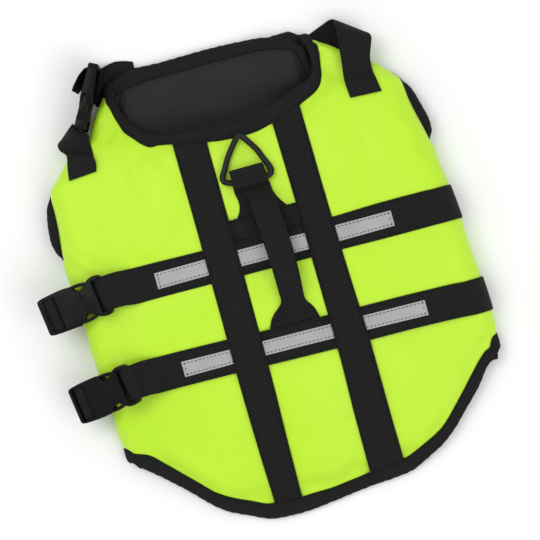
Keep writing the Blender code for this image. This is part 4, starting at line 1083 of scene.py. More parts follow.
def shown_mesh(obj):
    """A new mesh, as the object's modifiers show it."""
    bpy.context.view_layer.update()
    shown = obj.evaluated_get(bpy.context.evaluated_depsgraph_get())
    return bpy.data.meshes.new_from_object(shown)


def apply_modifiers(obj):
    """Makes what the modifiers show the object's own mesh."""
    old = obj.data
    obj.data = shown_mesh(obj)
    obj.modifiers.clear()
    bpy.data.meshes.remove(old)


def subdivide(obj):
    """Makes a panel's mesh twice as fine and smooth."""
    modifier = obj.modifiers.new("Subdivision", "SUBSURF")
    modifier.levels = modifier.render_levels = 1
    modifier.boundary_smooth = "PRESERVE_CORNERS"
    apply_modifiers(obj)


# %% The back
PANEL_FINISHES = (coated_nylon, lining_finish)
HELD_TURN = 1.55  # further round than this, the back lies against the table or the belly
back_panel = panel("padded_back", back, PANEL_FINISHES)
last_row, last_column = len(ROWS) - 1, len(COLUMNS) - 1
half_count = len(ROWS) * len(COLUMNS)
pinned = list(range(half_count, 2 * half_count))
for r in range(len(ROWS)):
    for c in range(len(COLUMNS)):
        x, y, _ = back[0][r][c]
        on_rim = r in (0, last_row) or c in (0, last_column)
        if on_rim or abs(COLUMNS[c]) > HELD_TURN or sewn_down(x, y):
            pinned.append(r * len(COLUMNS) + c)
swell(back_panel, pinned, SWELL)
places = point_array(back_panel.data)
on_top = np.zeros(len(places))
grid_rows, grid_columns = np.divmod(np.arange(half_count), len(COLUMNS))
inner_rim = (grid_rows > 0) & (grid_rows < last_row)
round_fold = np.abs(np.array(COLUMNS)[grid_columns])
on_top[:half_count] = np.clip((1.5 - round_fold) / 0.3, 0, 1) * inner_rim
rise = crease_rise(places[:, 0] / MM, places[:, 1] / MM, CREASES)
places[:, 2] += (rise * on_top * MM).astype(np.float32)
back_panel.data.vertices.foreach_set("co", places.ravel())
subdivide(back_panel)
add_to_pile(back_panel)
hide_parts("back_panel")
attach(back_panel, "jacket")
print("back:", len(back_panel.data.polygons), "faces")

# %% [markdown]
# ## The belly and its lining
# The belly panel is thinner foam, hollowed where the belts cross under it.  Its smooth black
# lining is a separate sheet sewn in along the edges, and it sags a little between them.

# %% The belly's grid


def belly_sides(y):
    """Left and right edges of the belly and chest panel, sewn to the back's edges."""
    left = seam_left(y) - 0.1 + LEG_HOLES[0].depth * hole_share(y, -1)
    right = seam_right(y) + 0.1 - LEG_HOLES[1].depth * hole_share(y, 1)
    return left, min(right, chest_right(y))


def belly_point(share, nominal, above=None):
    """A point of the belly panel's outer face, or a height above its inner face."""
    rear = mix(REAR_LEFT, REAR_RIGHT, share)
    front = chest_front(share)
    turned = smooth((nominal - CHEST_START) / (SHOULDER_TIP - CHEST_START))
    y = nominal + (front - SHOULDER_TIP) * turned
    y = max(y, slanted(nominal, rear))
    left, right = belly_sides(y)
    x = mix(left, right, share)
    full = smooth(min(x - left, right - x, y - rear, front - y) / PINCH_WIDTH)
    lift = CHEST_LIFT
    for place, start, run in zip((x, y), CHEST_LIFT_START, CHEST_LIFT_RUN):
        lift *= smooth((place - start) / run)
    base = underside(y) + lift
    if above is None:
        return (x, y, base + BELT_TROUGH * trough(y))
    return (x, y, base + mix(BOUND_EDGE, BELLY_FOAM, full) + above)


def belly_grid(rows, shares, above):
    """One face of the belly panel, or of its lining, row by row from the hem to the chest."""
    return [[belly_point(share, row, above) for share in shares] for row in rows]


SHARES = spread(0, 1, 0.02)
belly = [belly_grid(ROWS, SHARES, above) for above in (None, 0)]

# %% The belly
belly_panel = panel("padded_belly", belly, PANEL_FINISHES)
subdivide(belly_panel)
add_to_pile(belly_panel)
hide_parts("belly_panel")
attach(belly_panel, "jacket")

# %% The lining
LINING_FACES = (1.3, 0.3)  # heights of its outer and inner face over the belly's foam
LINING_CREASES = (
    # half-width, rise, points seen from above
    (12.0, 1.0, ((-60, 196), (-30, 176), (10, 168))),
    (10.0, 0.8, ((-20, 205), (12, 190), (50, 186))),
    (14.0, 0.9, ((-70, 150), (-20, 120), (40, 132))),
    (14.0, 0.8, ((-60, 60), (10, 40), (70, 66))),
    (14.0, 0.8, ((-70, -40), (-10, -20), (60, -46))),
)


def crease_panel(obj, creases):
    """Adds a panel's creases to all its points but those on the sides of its box."""
    places = point_array(obj.data)
    low, high = places.min(axis=0), places.max(axis=0)
    inside = np.minimum(places[:, :2] - low[:2], high[:2] - places[:, :2]).min(axis=1) > 0
    rise = crease_rise(places[:, 0] / MM, places[:, 1] / MM, creases)
    places[:, 2] += (rise * inside * MM).astype(np.float32)
    obj.data.vertices.foreach_set("co", places.ravel())


lining_grids = [belly_grid(ROWS[1:], SHARES[1:-1], above) for above in LINING_FACES]
lining = panel("chest_lining_cloth", lining_grids, (lining_finish, lining_finish))
crease_panel(lining, LINING_CREASES)
add_to_pile(lining)
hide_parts("chest_lining")
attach(lining, "jacket")
print("lining:", len(lining.data.polygons), "faces")

# %% [markdown]
# ## Webbing
# A strap is a flat woven band that bends easily one way only.  Each strap here is a row of
# cross-lines that rest on whatever lies below, smoothed the way a stiff band bridges small
# hollows.  A ribbon with its true thickness and rounded edges is then drawn through them.

# %% Resting on what lies below
ACROSS = 7  # points across a strap


def height(x, y):
    """Highest point of what lies at a place."""
    best = -1e9
    start = Vector((x, y, 300))
    for tree in PILE:
        hit = tree.ray_cast(start, Vector((0, 0, -1)))[0]
        if hit is not None:
            best = max(best, hit.z)
    return best


def line_across(a, b):
    """Points across a strap, from one edge to the other."""
    shares = np.linspace(0, 1, ACROSS)[:, None]
    return np.array(a, float) * (1 - shares) + np.array(b, float) * shares


def spread_max(ground):
    """Each place's highest value among itself and the eight places round it."""
    padded = np.pad(ground, 1, mode="edge")
    rows, columns = ground.shape
    windows = [padded[i : i + rows, j : j + columns] for i in range(3) for j in range(3)]
    return np.max(windows, axis=0)


def drape(edges, above=0.15, stiffness=8):
    """Rows of points that rest on what lies below, from each row's two edges seen from above."""
    rows = np.array([line_across((*a, 0), (*b, 0)) for a, b in edges])
    ground = np.array([[height(x, y) for x, y, _ in row] for row in rows])
    ground = spread_max(np.where(ground < -1e8, 0, ground)) + above
    z = ground.copy()
    for _ in range(stiffness):
        padded = np.pad(z, 1, mode="edge")
        mean = padded[:-2, 1:-1] + padded[2:, 1:-1] + 2 * z + padded[1:-1, :-2] + padded[1:-1, 2:]
        z = np.maximum(ground, mean / 6)
    rows[:, :, 2] = z
    return list(rows)


# %% A curve through rows
def through(rows, spacing, closed=False):
    """Evenly spaced rows on a smooth curve through rows of points, and the length to each."""
    rows = np.array(rows, float)
    if closed:
        rows = np.concatenate([rows, rows[:1]])
    steps = np.linalg.norm(np.diff(rows.mean(axis=1), axis=0), axis=1)
    lengths = np.concatenate([[0], np.cumsum(np.maximum(steps, 1e-6))])
    spans = np.diff(lengths)
    slopes = np.diff(rows, axis=0) / spans[:, None, None]
    tangents = np.empty_like(rows)
    inner = (slopes[:-1] * spans[1:, None, None] + slopes[1:] * spans[:-1, None, None])
    tangents[1:-1] = inner / (spans[1:] + spans[:-1])[:, None, None]
    tangents[0], tangents[-1] = slopes[0], slopes[-1]
    if closed:
        tangents[0] = tangents[-1] = (slopes[0] + slopes[-1]) / 2
    count = max(2, round(lengths[-1] / spacing))
    places = np.linspace(0, lengths[-1], count + 1)
    if closed:
        places = places[:-1]
    k = np.clip(np.searchsorted(lengths, places, side="right") - 1, 0, len(spans) - 1)
    t = ((places - lengths[k]) / spans[k])[:, None, None]
    span = spans[k][:, None, None]
    curve = (2 * t**3 - 3 * t**2 + 1) * rows[k] + (3 * t**2 - 2 * t**3) * rows[k + 1]
    curve += (t**3 - 2 * t**2 + t) * span * tangents[k] + (t**3 - t**2) * span * tangents[k + 1]
    return curve, places


# %% A ribbon's mesh
PLACES_ACROSS = (0.0, 0.03, 0.2, 0.5, 0.8, 0.97, 1.0)
EDGE_ROUNDING = np.array((0.3, 0.06, 0, 0, 0, 0.06, 0.3))  # share of the thickness lost there
EDGE_BULGE = 0.25  # how far the middle of a band's edge stands out


def unit(vectors):
    return vectors / np.maximum(np.linalg.norm(vectors, axis=-1, keepdims=True), 1e-9)


def ring_faces(count, rows, closed=False):
    """Quads between rings of points, and the two ends unless closed."""
    faces = []
    for r in range(rows if closed else rows - 1):
        near, far = r * count, (r + 1) % rows * count
        for k in range(count):
            after = (k + 1) % count
            faces.append((near + k, near + after, far + after, far + k))
    if not closed:
        faces.append(tuple(range(count - 1, -1, -1)))
        faces.append(tuple(range((rows - 1) * count, rows * count)))
    return faces


def ribbon(name, rows, thickness, materials, spacing):
    """A band with rounded edges through rows of its inner face; its outer face lies outwards."""
    grid, lengths = through(rows, spacing)
    if not np.isscalar(thickness):
        steps = np.linalg.norm(np.diff(np.array(rows).mean(axis=1), axis=0), axis=1)
        marks = np.concatenate([[0], np.cumsum(steps)])
        thickness = np.interp(lengths, marks, thickness)[:, None, None]
    shares = np.array(PLACES_ACROSS) * (ACROSS - 1)
    low = np.minimum(shares.astype(int), ACROSS - 2)
    part = (shares - low)[None, :, None]
    grid = grid[:, low] * (1 - part) + grid[:, low + 1] * part
    along = unit(np.gradient(grid, axis=0))
    across = unit(grid[:, -1:] - grid[:, :1])
    normal = unit(np.cross(across, along))
    rounding = EDGE_ROUNDING[None, :, None]
    inner = grid + normal * thickness * rounding
    outer = grid + normal * thickness * (1 - rounding)
    middle = (inner + outer) / 2
    bulge = EDGE_BULGE * across
    edges = middle[:, -1:] + bulge, middle[:, :1] - bulge
    rings = np.concatenate([inner, edges[0], outer[:, ::-1], edges[1]], axis=1)
    count = rings.shape[1]
    width = np.linalg.norm(grid[:, -1] - grid[:, 0], axis=1)[:, None]
    around = np.concatenate([PLACES_ACROSS, [1.02], PLACES_ACROSS[::-1], [-0.02]])[None] * width
    runs = np.repeat(lengths, count)
    faces = ring_faces(count, len(rings))
    return cloth_object(name, rings.reshape(-1, 3).tolist(), faces, runs, around.ravel(), materials)


# %% [markdown]
# ### Ribs by Geometry Nodes
# The weft makes a rib across the band every 1.8 mm.  A node tree presses the grooves between the
# ribs into the ribbon, so one pitch and one depth serve every strap and can be changed at once.

# %% Node tree for woven ribs
RIB_DEPTH = 0.00017


def new_tree(name, sizes):
    """A geometry tree with named inputs, its input node and its output node."""
    tree = bpy.data.node_groups.new(name, "GeometryNodeTree")
    tree.interface.new_socket("Geometry", in_out="INPUT", socket_type="NodeSocketGeometry")
    for size, value in sizes.items():
        kind = "NodeSocketInt" if isinstance(value, int) else "NodeSocketFloat"
        tree.interface.new_socket(size, in_out="INPUT", socket_type=kind).default_value = value
    tree.interface.new_socket("Finish", in_out="INPUT", socket_type="NodeSocketMaterial")
    tree.interface.new_socket("Geometry", in_out="OUTPUT", socket_type="NodeSocketGeometry")
    return tree, add(tree, "NodeGroupInput", -900), add(tree, "NodeGroupOutput", 900)


def end_tree(tree, given, made, geometry):
    """Ends a tree with plain geometry in the finish that it is given."""
    realize = add(tree, "GeometryNodeRealizeInstances", 500)
    finish = add(tree, "GeometryNodeSetMaterial", 700)
    join(tree, geometry, realize.inputs["Geometry"])
    join(tree, realize.outputs["Geometry"], finish.inputs["Geometry"])
    join(tree, given.outputs["Finish"], finish.inputs["Material"])
    join(tree, finish.outputs["Geometry"], made.inputs["Geometry"])


def woven_ribs():
    tree, given, made = new_tree("woven_ribs", {"Pitch": RIB_PITCH, "Depth": RIB_DEPTH})
    along = add(tree, "GeometryNodeInputNamedAttribute", -700, data_type="FLOAT")
    along.inputs["Name"].default_value = "along"
    turns = calc(tree, "DIVIDE", along.outputs["Attribute"], given.outputs["Pitch"])
    ridge = calc(tree, "ABSOLUTE", calc(tree, "SINE", calc(tree, "MULTIPLY", turns, math.pi)))
    groove = calc(tree, "SUBTRACT", calc(tree, "POWER", ridge, 0.6), 1.0)
    sunk = calc(tree, "MULTIPLY", groove, given.outputs["Depth"])
    normal = add(tree, "GeometryNodeInputNormal", -200)
    offset = add(tree, "ShaderNodeVectorMath", 100, operation="SCALE")
    join(tree, normal.outputs["Normal"], offset.inputs[0])
    join(tree, sunk, offset.inputs["Scale"])
    press = add(tree, "GeometryNodeSetPosition", 300)
    join(tree, given.outputs["Geometry"], press.inputs["Geometry"])
    join(tree, offset.outputs["Vector"], press.inputs["Offset"])
    end_tree(tree, given, made, press.outputs["Geometry"])
    return tree


def run_tree(obj, tree, values):
    """Runs a node tree on an object, its inputs given by name, and keeps the result as its mesh."""
    modifier = obj.modifiers.new(tree.name, "NODES")
    modifier.node_group = tree
    for item in tree.interface.items_tree:
        if item.item_type == "SOCKET" and item.in_out == "INPUT" and item.name in values:
            modifier[item.identifier] = values[item.name]
    apply_modifiers(obj)


RIBS = woven_ribs()
RIB_STEP = RIB_PITCH / MM / 4  # four rows of a ribbon's mesh to a rib
TAPE_STEP = 1.5  # between the rows of a smooth tape's mesh
SEAMS = []  # lines of points along which the pieces are sewn
THREAD_OVER = 0.12  # how far the middle of a thread lies over what it sews


def seam_along(line):
    """Keeps a seam along a line seen from above, on whatever lies there."""
    SEAMS.append(np.array([(x, y, height(x, y) + THREAD_OVER) for x, y in line]))


def sew(rows, inset, ends=True):
    """Keeps seams along both edges of a strap's rows, that far inside them, and across its ends."""
    rows = np.array(rows)
    width = np.linalg.norm(rows[:, -1] - rows[:, 0], axis=1)[:, None]
    share = inset / width
    left = rows[:, 0] * (1 - share) + rows[:, -1] * share
    right = rows[:, -1] * (1 - share) + rows[:, 0] * share
    lines = [left, right]
    if ends:
        lines += [np.linspace(left[k], right[k], 12) for k in (0, -1)]
    for line in lines:
        seam_along(line[:, :2])


def strap(name, node, rows, thickness=WEBBING, smooth_tape=None, rib_depth=RIB_DEPTH):
    """A piece of ribbed webbing that stands for a solid, or of smooth tape in the finish given."""
    finish = smooth_tape or webbing_finish
    made = ribbon(name, rows, thickness, (finish,), TAPE_STEP if smooth_tape else RIB_STEP)
    if not smooth_tape:
        run_tree(made, RIBS, {"Pitch": RIB_PITCH, "Depth": rib_depth, "Finish": finish})
    add_to_pile(made)
    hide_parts(node)
    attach(made, "jacket")
    print(name, len(made.data.polygons), "faces")


# %% [markdown]
# ## Straps and belts
# The order is the maker's: the handle's lower layer, the band that holds it, the front belt with
# its tape, the handle itself, the rear belt with its tape, and last the two long straps along the
# back.

# %% Handle and ring tables
RING_WIRE = 5.2  # thickness
RING_BAR = (6.5, 106.05, 4.5)  # middle of the base bar: x, y, height over the back
RING_TURN = math.radians(-5.3)  # the base bar's angle to the X axis
RING_TIP_DROP = 5.2  # how far the tip lies below the base bar
RING_OUTLINE = (
    # middle of the wire: along the base bar, away from it
    (-19.5, 0.0),
    (-22.0, 1.2),
    (-22.8, 4.2),
    (-19.5, 11.1),
    (-15.1, 21.0),
    (-8.1, 32.2),
    (-4.6, 37.4),
    (-2.2, 39.0),
    (0.3, 37.6),
    (4.3, 32.6),
    (11.3, 23.3),
    (14.6, 16.2),
    (18.8, 8.7),
    (20.2, 4.2),
    (19.5, 1.2),
    (16.5, 0.0),
)
HANDLE_LOWER = (
    # y, left x, right x
    (66, -13.1, 32.5),
    (76.5, -12.1, 31.4),
    (80, -9.7, 28.9),
    (84, -8.0, 26.3),
    (90, -7.5, 23.7),
    (97, -8.7, 22.8),
    (105, -8.7, 21.8),
    (112.6, -8.6, 21.3),
)
HANDLE_UPPER = (
    # y, left x, right x, rise over the back, thickness
    (110.5, -8.6, 21.3, 7.9, 1.3),
    (106, -8.6, 21.5, 8.2, 1.3),
    (102, -8.5, 21.7, 7.7, 1.3),
    (99.6, -8.2, 21.8, 5.0, 1.3),
    (97.8, -6.6, 21.9, 2.9, 1.3),
    (95.5, -2.5, 22.4, 2.6, 2.2),
    (91, 0.3, 23.1, 4.2, 3.0),
    (84, 1.3, 24.0, 8.0, 3.2),
    (74, 2.0, 24.8, 11.8, 3.2),
    (62, 2.6, 25.4, 14.0, 3.2),
    (50, 3.5, 26.3, 15.0, 3.2),
    (38, 4.4, 26.6, 15.0, 3.2),
    (26, 4.8, 26.5, 13.8, 3.2),
    (14, 5.0, 26.1, 11.2, 3.2),
    (5, 5.0, 25.5, 7.8, 3.1),
    (-2, 4.8, 25.0, 4.8, 2.8),
    (-5, 3.0, 25.2, 3.5, 2.5),
    (-8, -0.4, 26.6, 2.4, 2.1),
    (-11, -3.7, 28.7, 1.5, 1.8),
    (-14, -6.2, 30.4, 0.9, 1.5),
    (-17.5, -8.2, 31.7, 0.5, 1.3),
    (-23.4, -10.5, 33.0, 0.4, 1.3),
    (-31, -10.8, 33.3, 0.4, 1.3),
    (-38, -11.0, 33.5, 0.4, 1.3),
)

# %% Buckles' places
BELT_BUCKLES = (
    # name, end bar's x, y, z, angle in plan, tilt
    ("buckle_front", -139.9, 44.2, 43.6, 7.0, 5.0),
    ("buckle_rear", -138.8, -36.0, 46.4, 7.7, 23.0),
)
BAR_LOOP = (0.7, 3.6, 2.8)  # the webbing round an end bar: middle, half-length, half-height
BELT_RISES = {
    # how a belt comes up beside the left fold to its buckle: out from the fold, height
    "buckle_front": ((8.5, 1.7), (2.0, 4.4), (-5.0, 10.0), (-12.0, 17.0), (-18.5, 24.5)),
    "buckle_rear": ((8.5, 1.7), (2.0, 3.8), (-5.0, 7.0), (-11.5, 11.0), (-16.5, 15.5)),
}
NECK_BUCKLE = ("buckle_neck", -121.7, 188.3, 18.8, 63.0)  # name, end bar's x, y, z, angle in plan
Frame = namedtuple("Frame", "origin along across up")


def belt_buckle_frame(x, y, z, plan, tilt):
    """The frame of a buckle that points left and down over the side fold."""
    plan, tilt = math.radians(plan), math.radians(tilt)
    level = math.cos(tilt)
    along = Vector((-math.cos(plan) * level, -math.sin(plan) * level, -math.sin(tilt)))
    across = Vector((-math.sin(plan), math.cos(plan), 0))
    return Frame(Vector((x, y, z)), along, across, across.cross(along))


def neck_buckle_frame(x, y, z, plan):
    """The frame of the buckle that stands on its edge."""
    plan = math.radians(plan)
    along = Vector((math.cos(plan), math.sin(plan), 0))
    up = Vector((-math.sin(plan), math.cos(plan), 0))
    return Frame(Vector((x, y, z)), along, Vector((0, 0, 1)), up)


def at(frame, along, across, up):
    """A place given in a buckle's own frame."""
    return frame.origin + frame.along * along + frame.across * across + frame.up * up


def bar_loop(turn):
    """Along and up of the webbing round an end bar, from a quarter turn under it to one over it."""
    middle, half_length, half_height = BAR_LOOP
    return middle + half_length * math.cos(turn), half_height * math.sin(turn)


belt_frames = {name: belt_buckle_frame(*place) for name, *place in BELT_BUCKLES}
neck_frame = neck_buckle_frame(*NECK_BUCKLE[1:])

# %% Handle's lower layer and cross band
lower_rows = []
for y, left, right in HANDLE_LOWER:
    middle = (left + right) / 2
    z = max(height(x, y) for x in (middle - 8, middle, middle + 8)) + SEAM + WEBBING
    lower_rows.append(line_across((right, y, z), (left, y, z)))
lower_layer = ribbon("handle_lower", lower_rows, WEBBING, (webbing_finish,), RIB_STEP)
add_to_pile(lower_layer)
bpy.data.objects.remove(lower_layer)

left, right, front, rear = CROSS_BAND
cross_rows = drape([((x, front), (x, rear)) for x in spread(left, right, 2.0)], stiffness=14)
strap("cross_band_webbing", "cross_band", cross_rows)
sew(cross_rows, inset=2.0, ends=False)


# %% A belt's whole way
RIGHT_FOLD_X = 175  # where a belt's width is read for its way round the right fold
BELT_TOP = (-107, 150)  # between these x a belt lies on the back
BELT_SEWN = (-95, 146)  # between these x it is sewn to the back
BELT_SEWN_ABOVE = 25  # height that only its run on top passes
BELT_FELT = (-116, -120, -125, -129)  # x at which its end feels for the cloth below
BELT_TAIL = ((-112, 0.0), (-119, 0.2), (-126, 0.55), (-133.5, 1.0))  # x, turned to the bar
BELT_RETURN = ((-126, 0.4, 0.5), (-117, 0.1, 0.05))  # x, raised to the bar, turned to it
BELT_UNDER = (150, 144, 120, 60, 0, -60, -120, -140, -146)  # x of its rows under the body
BELT_IN_SOCKET = (
    # along the buckle, up
    (51.1, -6.0),
    (51.1, -2.0),
    (51.0, 1.4),
    (50.2, 2.1),
    (43.3, 2.1),
    (42.5, 1.4),
    (42.4, -2.0),
    (42.1, -6.0),
    (40.8, -8.8),
    (38.0, -10.6),
)


def upright_row(frame, along, up, lean=0.0):
    """Points across webbing in a buckle's frame; a lean raises its first edge over its last."""
    half = WEBBING_WIDTH / 2
    return line_across(at(frame, along, half, up + lean), at(frame, along, -half, up - lean))


def belt_rows(top_rows, under_rows, frame, rise):
    """Inner face of a belt, from its end under the plug's bar to its end in the socket's slots.

    It goes round the bar, across the back, round the right fold, under the body and up on the left.
    """
    upper, lower = Column(top_rows, 1), Column(top_rows, 2)
    under_upper, under_lower = Column(under_rows, 1), Column(under_rows, 2)

    def framed_row(along, up):
        return upright_row(frame, along, up)

    def near_bar(x, z, share):
        """A row at x, turned to the bar by a share."""
        level = line_across((x, upper(x), z), (x, lower(x), z))
        mixed = mix(level, framed_row(frame.origin.x - x, 0), share)
        mixed[:, 2] = z
        return mixed

    level = 0.0
    for x in BELT_FELT:
        for share in (0, 0.3, 0.7, 1):
            level = max(level, height(x, mix(upper(x), lower(x), share)))
    level += SEAM + WEBBING
    rows = [near_bar(x, level, share) for x, share in BELT_TAIL]
    rows += [framed_row(*bar_loop(math.radians(turn))) for turn in range(-90, 91, 20)]
    top = at(frame, -2.5, 0, BAR_LOOP[2])
    rows.append(near_bar(top.x, top.z, 1.0))
    for x, share, turned in BELT_RETURN:
        rows.append(near_bar(x, mix(level + 0.5, top.z, share), turned))
    rows += drape([((x, upper(x)), (x, lower(x))) for x in spread(*BELT_TOP, 2.2)], stiffness=10)
    front, rear = upper(RIGHT_FOLD_X), lower(RIGHT_FOLD_X)
    places = line_across((front, 0, 0), (rear, 0, 0))[:, 0]
    for nominal in np.arange(1.03, 1.95, 0.07):
        turned = to_edge(nominal, (front + rear) / 2, 1)
        rows.append(np.array([skin(turned, place, SEAM * 1.5) for place in places]))
    for x in BELT_UNDER:
        rows.append(line_across((x, under_upper(x), WEBBING), (x, under_lower(x), WEBBING)))
    y_upper, y_lower = under_upper(-150), under_lower(-150)
    fold = left_fold((y_upper + y_lower) / 2)
    for step, z in rise:
        rows.append(line_across((fold + step, y_upper, z), (fold + step, y_lower, z)))
    return rows + [framed_row(along, up) for along, up in BELT_IN_SOCKET]


def sew_belt(rows):
    """Seams along the part of a belt that is sewn to the back."""
    left, right = BELT_SEWN
    middles = [row[ACROSS // 2] for row in rows]
    on_top = [left < x < right and z > BELT_SEWN_ABOVE for x, _, z in middles]
    sewn = [row for row, kept in zip(rows, on_top) if kept]
    sew(sewn, inset=2.0, ends=False)


def tape_rows(table):
    """Rows of the reflective tape on a belt."""
    upper, lower = Column(table, 1), Column(table, 2)
    places = spread(table[0][0], table[-1][0], 2.5)
    return drape([((x, upper(x)), (x, lower(x))) for x in places], above=0.12)


# %% Front belt and its reflective tape
front_frame, rear_frame = belt_frames["buckle_front"], belt_frames["buckle_rear"]
front_rows = belt_rows(BELT_FRONT, BELT_FRONT_UNDER, front_frame, BELT_RISES["buckle_front"])
strap("belt_front_webbing", "belt_front", front_rows)
sew_belt(front_rows)
front_tape = tape_rows(STRIP_FRONT)
strap("tape_front", "reflective_strip_front", front_tape, STRIP, smooth_tape=reflective)
sew(front_tape[1:-1], inset=1.7)


# %% The grab handle
ANCHOR_REST = -16  # behind this y the handle lies on the back, in front it rises from it


def back_height(x, y):
    """Height of the bare back."""
    return skin(across_at(x, y), y)[2]


def handle_rows():
    """The handle from under the cross band, round the ring's bar and back, and its thickness."""
    rows = list(lower_rows)
    thickness = [WEBBING] * len(rows)
    front_y, left, right = HANDLE_LOWER[-1]
    low = rows[-1][0][2]
    high = back_height(*RING_BAR[:2]) + HANDLE_UPPER[0][3]
    radius = (high - low) / 2
    for turn in range(20, 161, 20):
        y = front_y + radius * math.sin(math.radians(turn))
        z = low + radius - radius * math.cos(math.radians(turn))
        rows.append(line_across((right, y, z), (left, y, z)))
        thickness.append(WEBBING)
    resting = []
    for y, left, right, rise, thick in HANDLE_UPPER:
        middle = (left + right) / 2
        if y > ANCHOR_REST:
            z = back_height(middle, y) + rise
            rows.append(line_across((right, y, z), (left, y, z)))
            thickness.append(thick)
        else:
            resting.append((y, left, right))
    lefts, rights = Column(resting[::-1], 1), Column(resting[::-1], 2)
    places = spread(resting[0][0], resting[-1][0], 2.0)
    rows += drape([((rights(y), y), (lefts(y), y)) for y in places], above=SEAM)
    thickness += [WEBBING] * len(places)
    return rows, thickness


rows, thickness = handle_rows()
strap("grab_handle_webbing", "grab_handle", rows, thickness)
sew([row for row in rows if row[ACROSS // 2][1] < ANCHOR_REST - 1], inset=2.0)

# %% Rear belt and its reflective tape
rear_rows = belt_rows(BELT_REAR, BELT_REAR_UNDER, rear_frame, BELT_RISES["buckle_rear"])
strap("belt_rear_webbing", "belt_rear", rear_rows)
sew_belt(rear_rows)
rear_tape = tape_rows(STRIP_REAR)
strap("tape_rear", "reflective_strip_rear", rear_tape, STRIP, smooth_tape=reflective)
sew(rear_tape[1:-1], inset=1.7)

# %% Straps along the back
STRAP_END_GAP = 0.4  # between a strap's end and the cloth's edge
STRAP_END_BLEND = 10  # length over which its rows turn parallel to that edge


def back_strap(table):
    """Rows of a long strap, whose ends run under the tapes of hem and neckline."""
    left, right = Column(table, 1), Column(table, 2)
    start, end = table[0][0], table[-1][0]
    edges = []
    for y in spread(start, end, 2.0):
        ends = []
        for x in (left(y), right(y)):
            place = across_at(x, y)
            at_neck = smooth((y - end + STRAP_END_BLEND) / STRAP_END_BLEND)
            at_hem = smooth((start + STRAP_END_BLEND - y) / STRAP_END_BLEND)
            near_neck = mix(y, neck_y(place) - STRAP_END_GAP, at_neck)
            ends.append((x, mix(near_neck, hem_y(place) + STRAP_END_GAP, at_hem)))
        edges.append(ends)
    return drape(edges, stiffness=14)


for side, table in (("left", BACK_STRAP_LEFT), ("right", BACK_STRAP_RIGHT)):
    rows = back_strap(table)
    strap(f"back_strap_{side}_webbing", "back_strap_" + side, rows)
    sew(rows[1:-1], inset=1.8, ends=False)

# %% [markdown]
# ## Neck straps
# The two neck straps leave the shoulders, turn over their edges and meet at a buckle that stands
# on its edge beside the left shoulder.  Their webbing twists freely in the air, so its rows come
# from a table.

# %% Neck strap tables
NECK_STRAP_LEFT_SEWN = (
    # left x, y, right x, y
    (-143.2, 146.0, -118.7, 147.6),
    (-141.5, 157.7, -117.0, 155.4),
    (-139.8, 165.7, -117.6, 160.9),
)
NECK_STRAP_LEFT_FREE = (
    # left edge, crest and right edge: x, y, z each
    (-141.7, 169.8, 25.5, -119.9, 164.7, 32.2, -117.5, 164.3, 31.8),
    (-144.9, 173.9, 21.5, -120.4, 169.3, 33.0, -117.4, 167.6, 30.5),
    (-145.8, 177.7, 17.5, -121.6, 174.6, 34.0, -117.6, 171.2, 28.5),
    (-145.4, 179.9, 14.0, -124.1, 180.2, 34.6, -117.6, 175.8, 27.0),
    (-144.0, 181.2, 11.5, -126.6, 185.4, 35.2, -117.5, 181.9, 26.5),
    (-142.4, 182.2, 9.5, -126.9, 189.2, 35.6, -125.4, 186.9, 32.0),
    (-141.4, 182.8, 8.0, -127.2, 191.8, 35.8, -126.6, 190.4, 33.5),
    (-136.0, 185.4, 5.6, -126.8, 190.9, 35.0, -126.4, 190.6, 34.2),
)
NECK_STRAP_RIGHT = (
    # left x, y, z, right x, y, z
    (109.0, 150.3, None, 136.5, 148.9, None),
    (108.4, 160.0, None, 135.0, 160.0, None),
    (108.3, 168.0, 32.3, 134.0, 168.0, 29.0),
    (110.0, 181.2, 31.6, 135.0, 180.2, 28.5),
    (111.5, 194.2, 30.4, 139.4, 192.2, 27.5),
    (112.8, 205.2, 28.0, 140.8, 196.2, 25.0),
    (113.2, 214.2, 24.0, 140.6, 199.0, 21.0),
    (113.0, 219.7, 18.0, 140.0, 200.4, 16.0),
    (112.5, 221.2, 12.0, 139.2, 200.4, 10.5),
    (109.3, 221.5, 6.5, 135.0, 199.9, 5.6),
    (104.3, 220.0, 3.2, 128.0, 197.4, 2.8),
    (96.3, 217.2, 1.9, 117.5, 193.4, 1.9),
    (86.3, 213.3, 1.8, 105.5, 187.7, 1.8),
    (76.3, 209.5, 1.8, 94.5, 182.9, 1.8),
)
CHEST_TAB = (
    # lower x, y, z, upper x, y, z
    (-66.0, 204.0, 0.3, -64.0, 233.3, 0.3),
    (-74.0, 205.5, 0.3, -72.0, 236.0, 0.3),
    (-82.0, 205.5, 0.3, -79.5, 237.3, 0.6),
    (-90.0, 204.6, 0.3, -84.5, 236.7, 2.0),
    (-97.5, 203.6, 0.4, -88.3, 235.9, 6.0),
    (-104.0, 203.8, 0.5, -90.8, 234.6, 13.0),
    (-105.2, 207.0, 0.8, -92.2, 233.8, 21.0),
    (-101.0, 215.5, 1.6, -93.0, 233.0, 28.0),
    (-97.2, 223.0, 3.2, -93.3, 232.6, 32.0),
)
CHEST_TAB_SEAM = ((-77, 228), (-75.2, 235))  # its two ends
CHEST_TAB_IN_SOCKET = (
    # along the buckle, up, lean of each edge
    (52.2, -5.6, 0.0),
    (52.2, -0.5, 0.0),
    (52.1, 4.4, 0.0),
    (50.8, 6.6, 0.2),
    (47.3, 8.0, 1.0),
    (43.6, 8.9, 2.0),
    (38.0, 10.0, 2.5),
    (33.0, 11.2, 2.5),
    (29.2, 12.3, 1.6),
)

# %% Neck straps


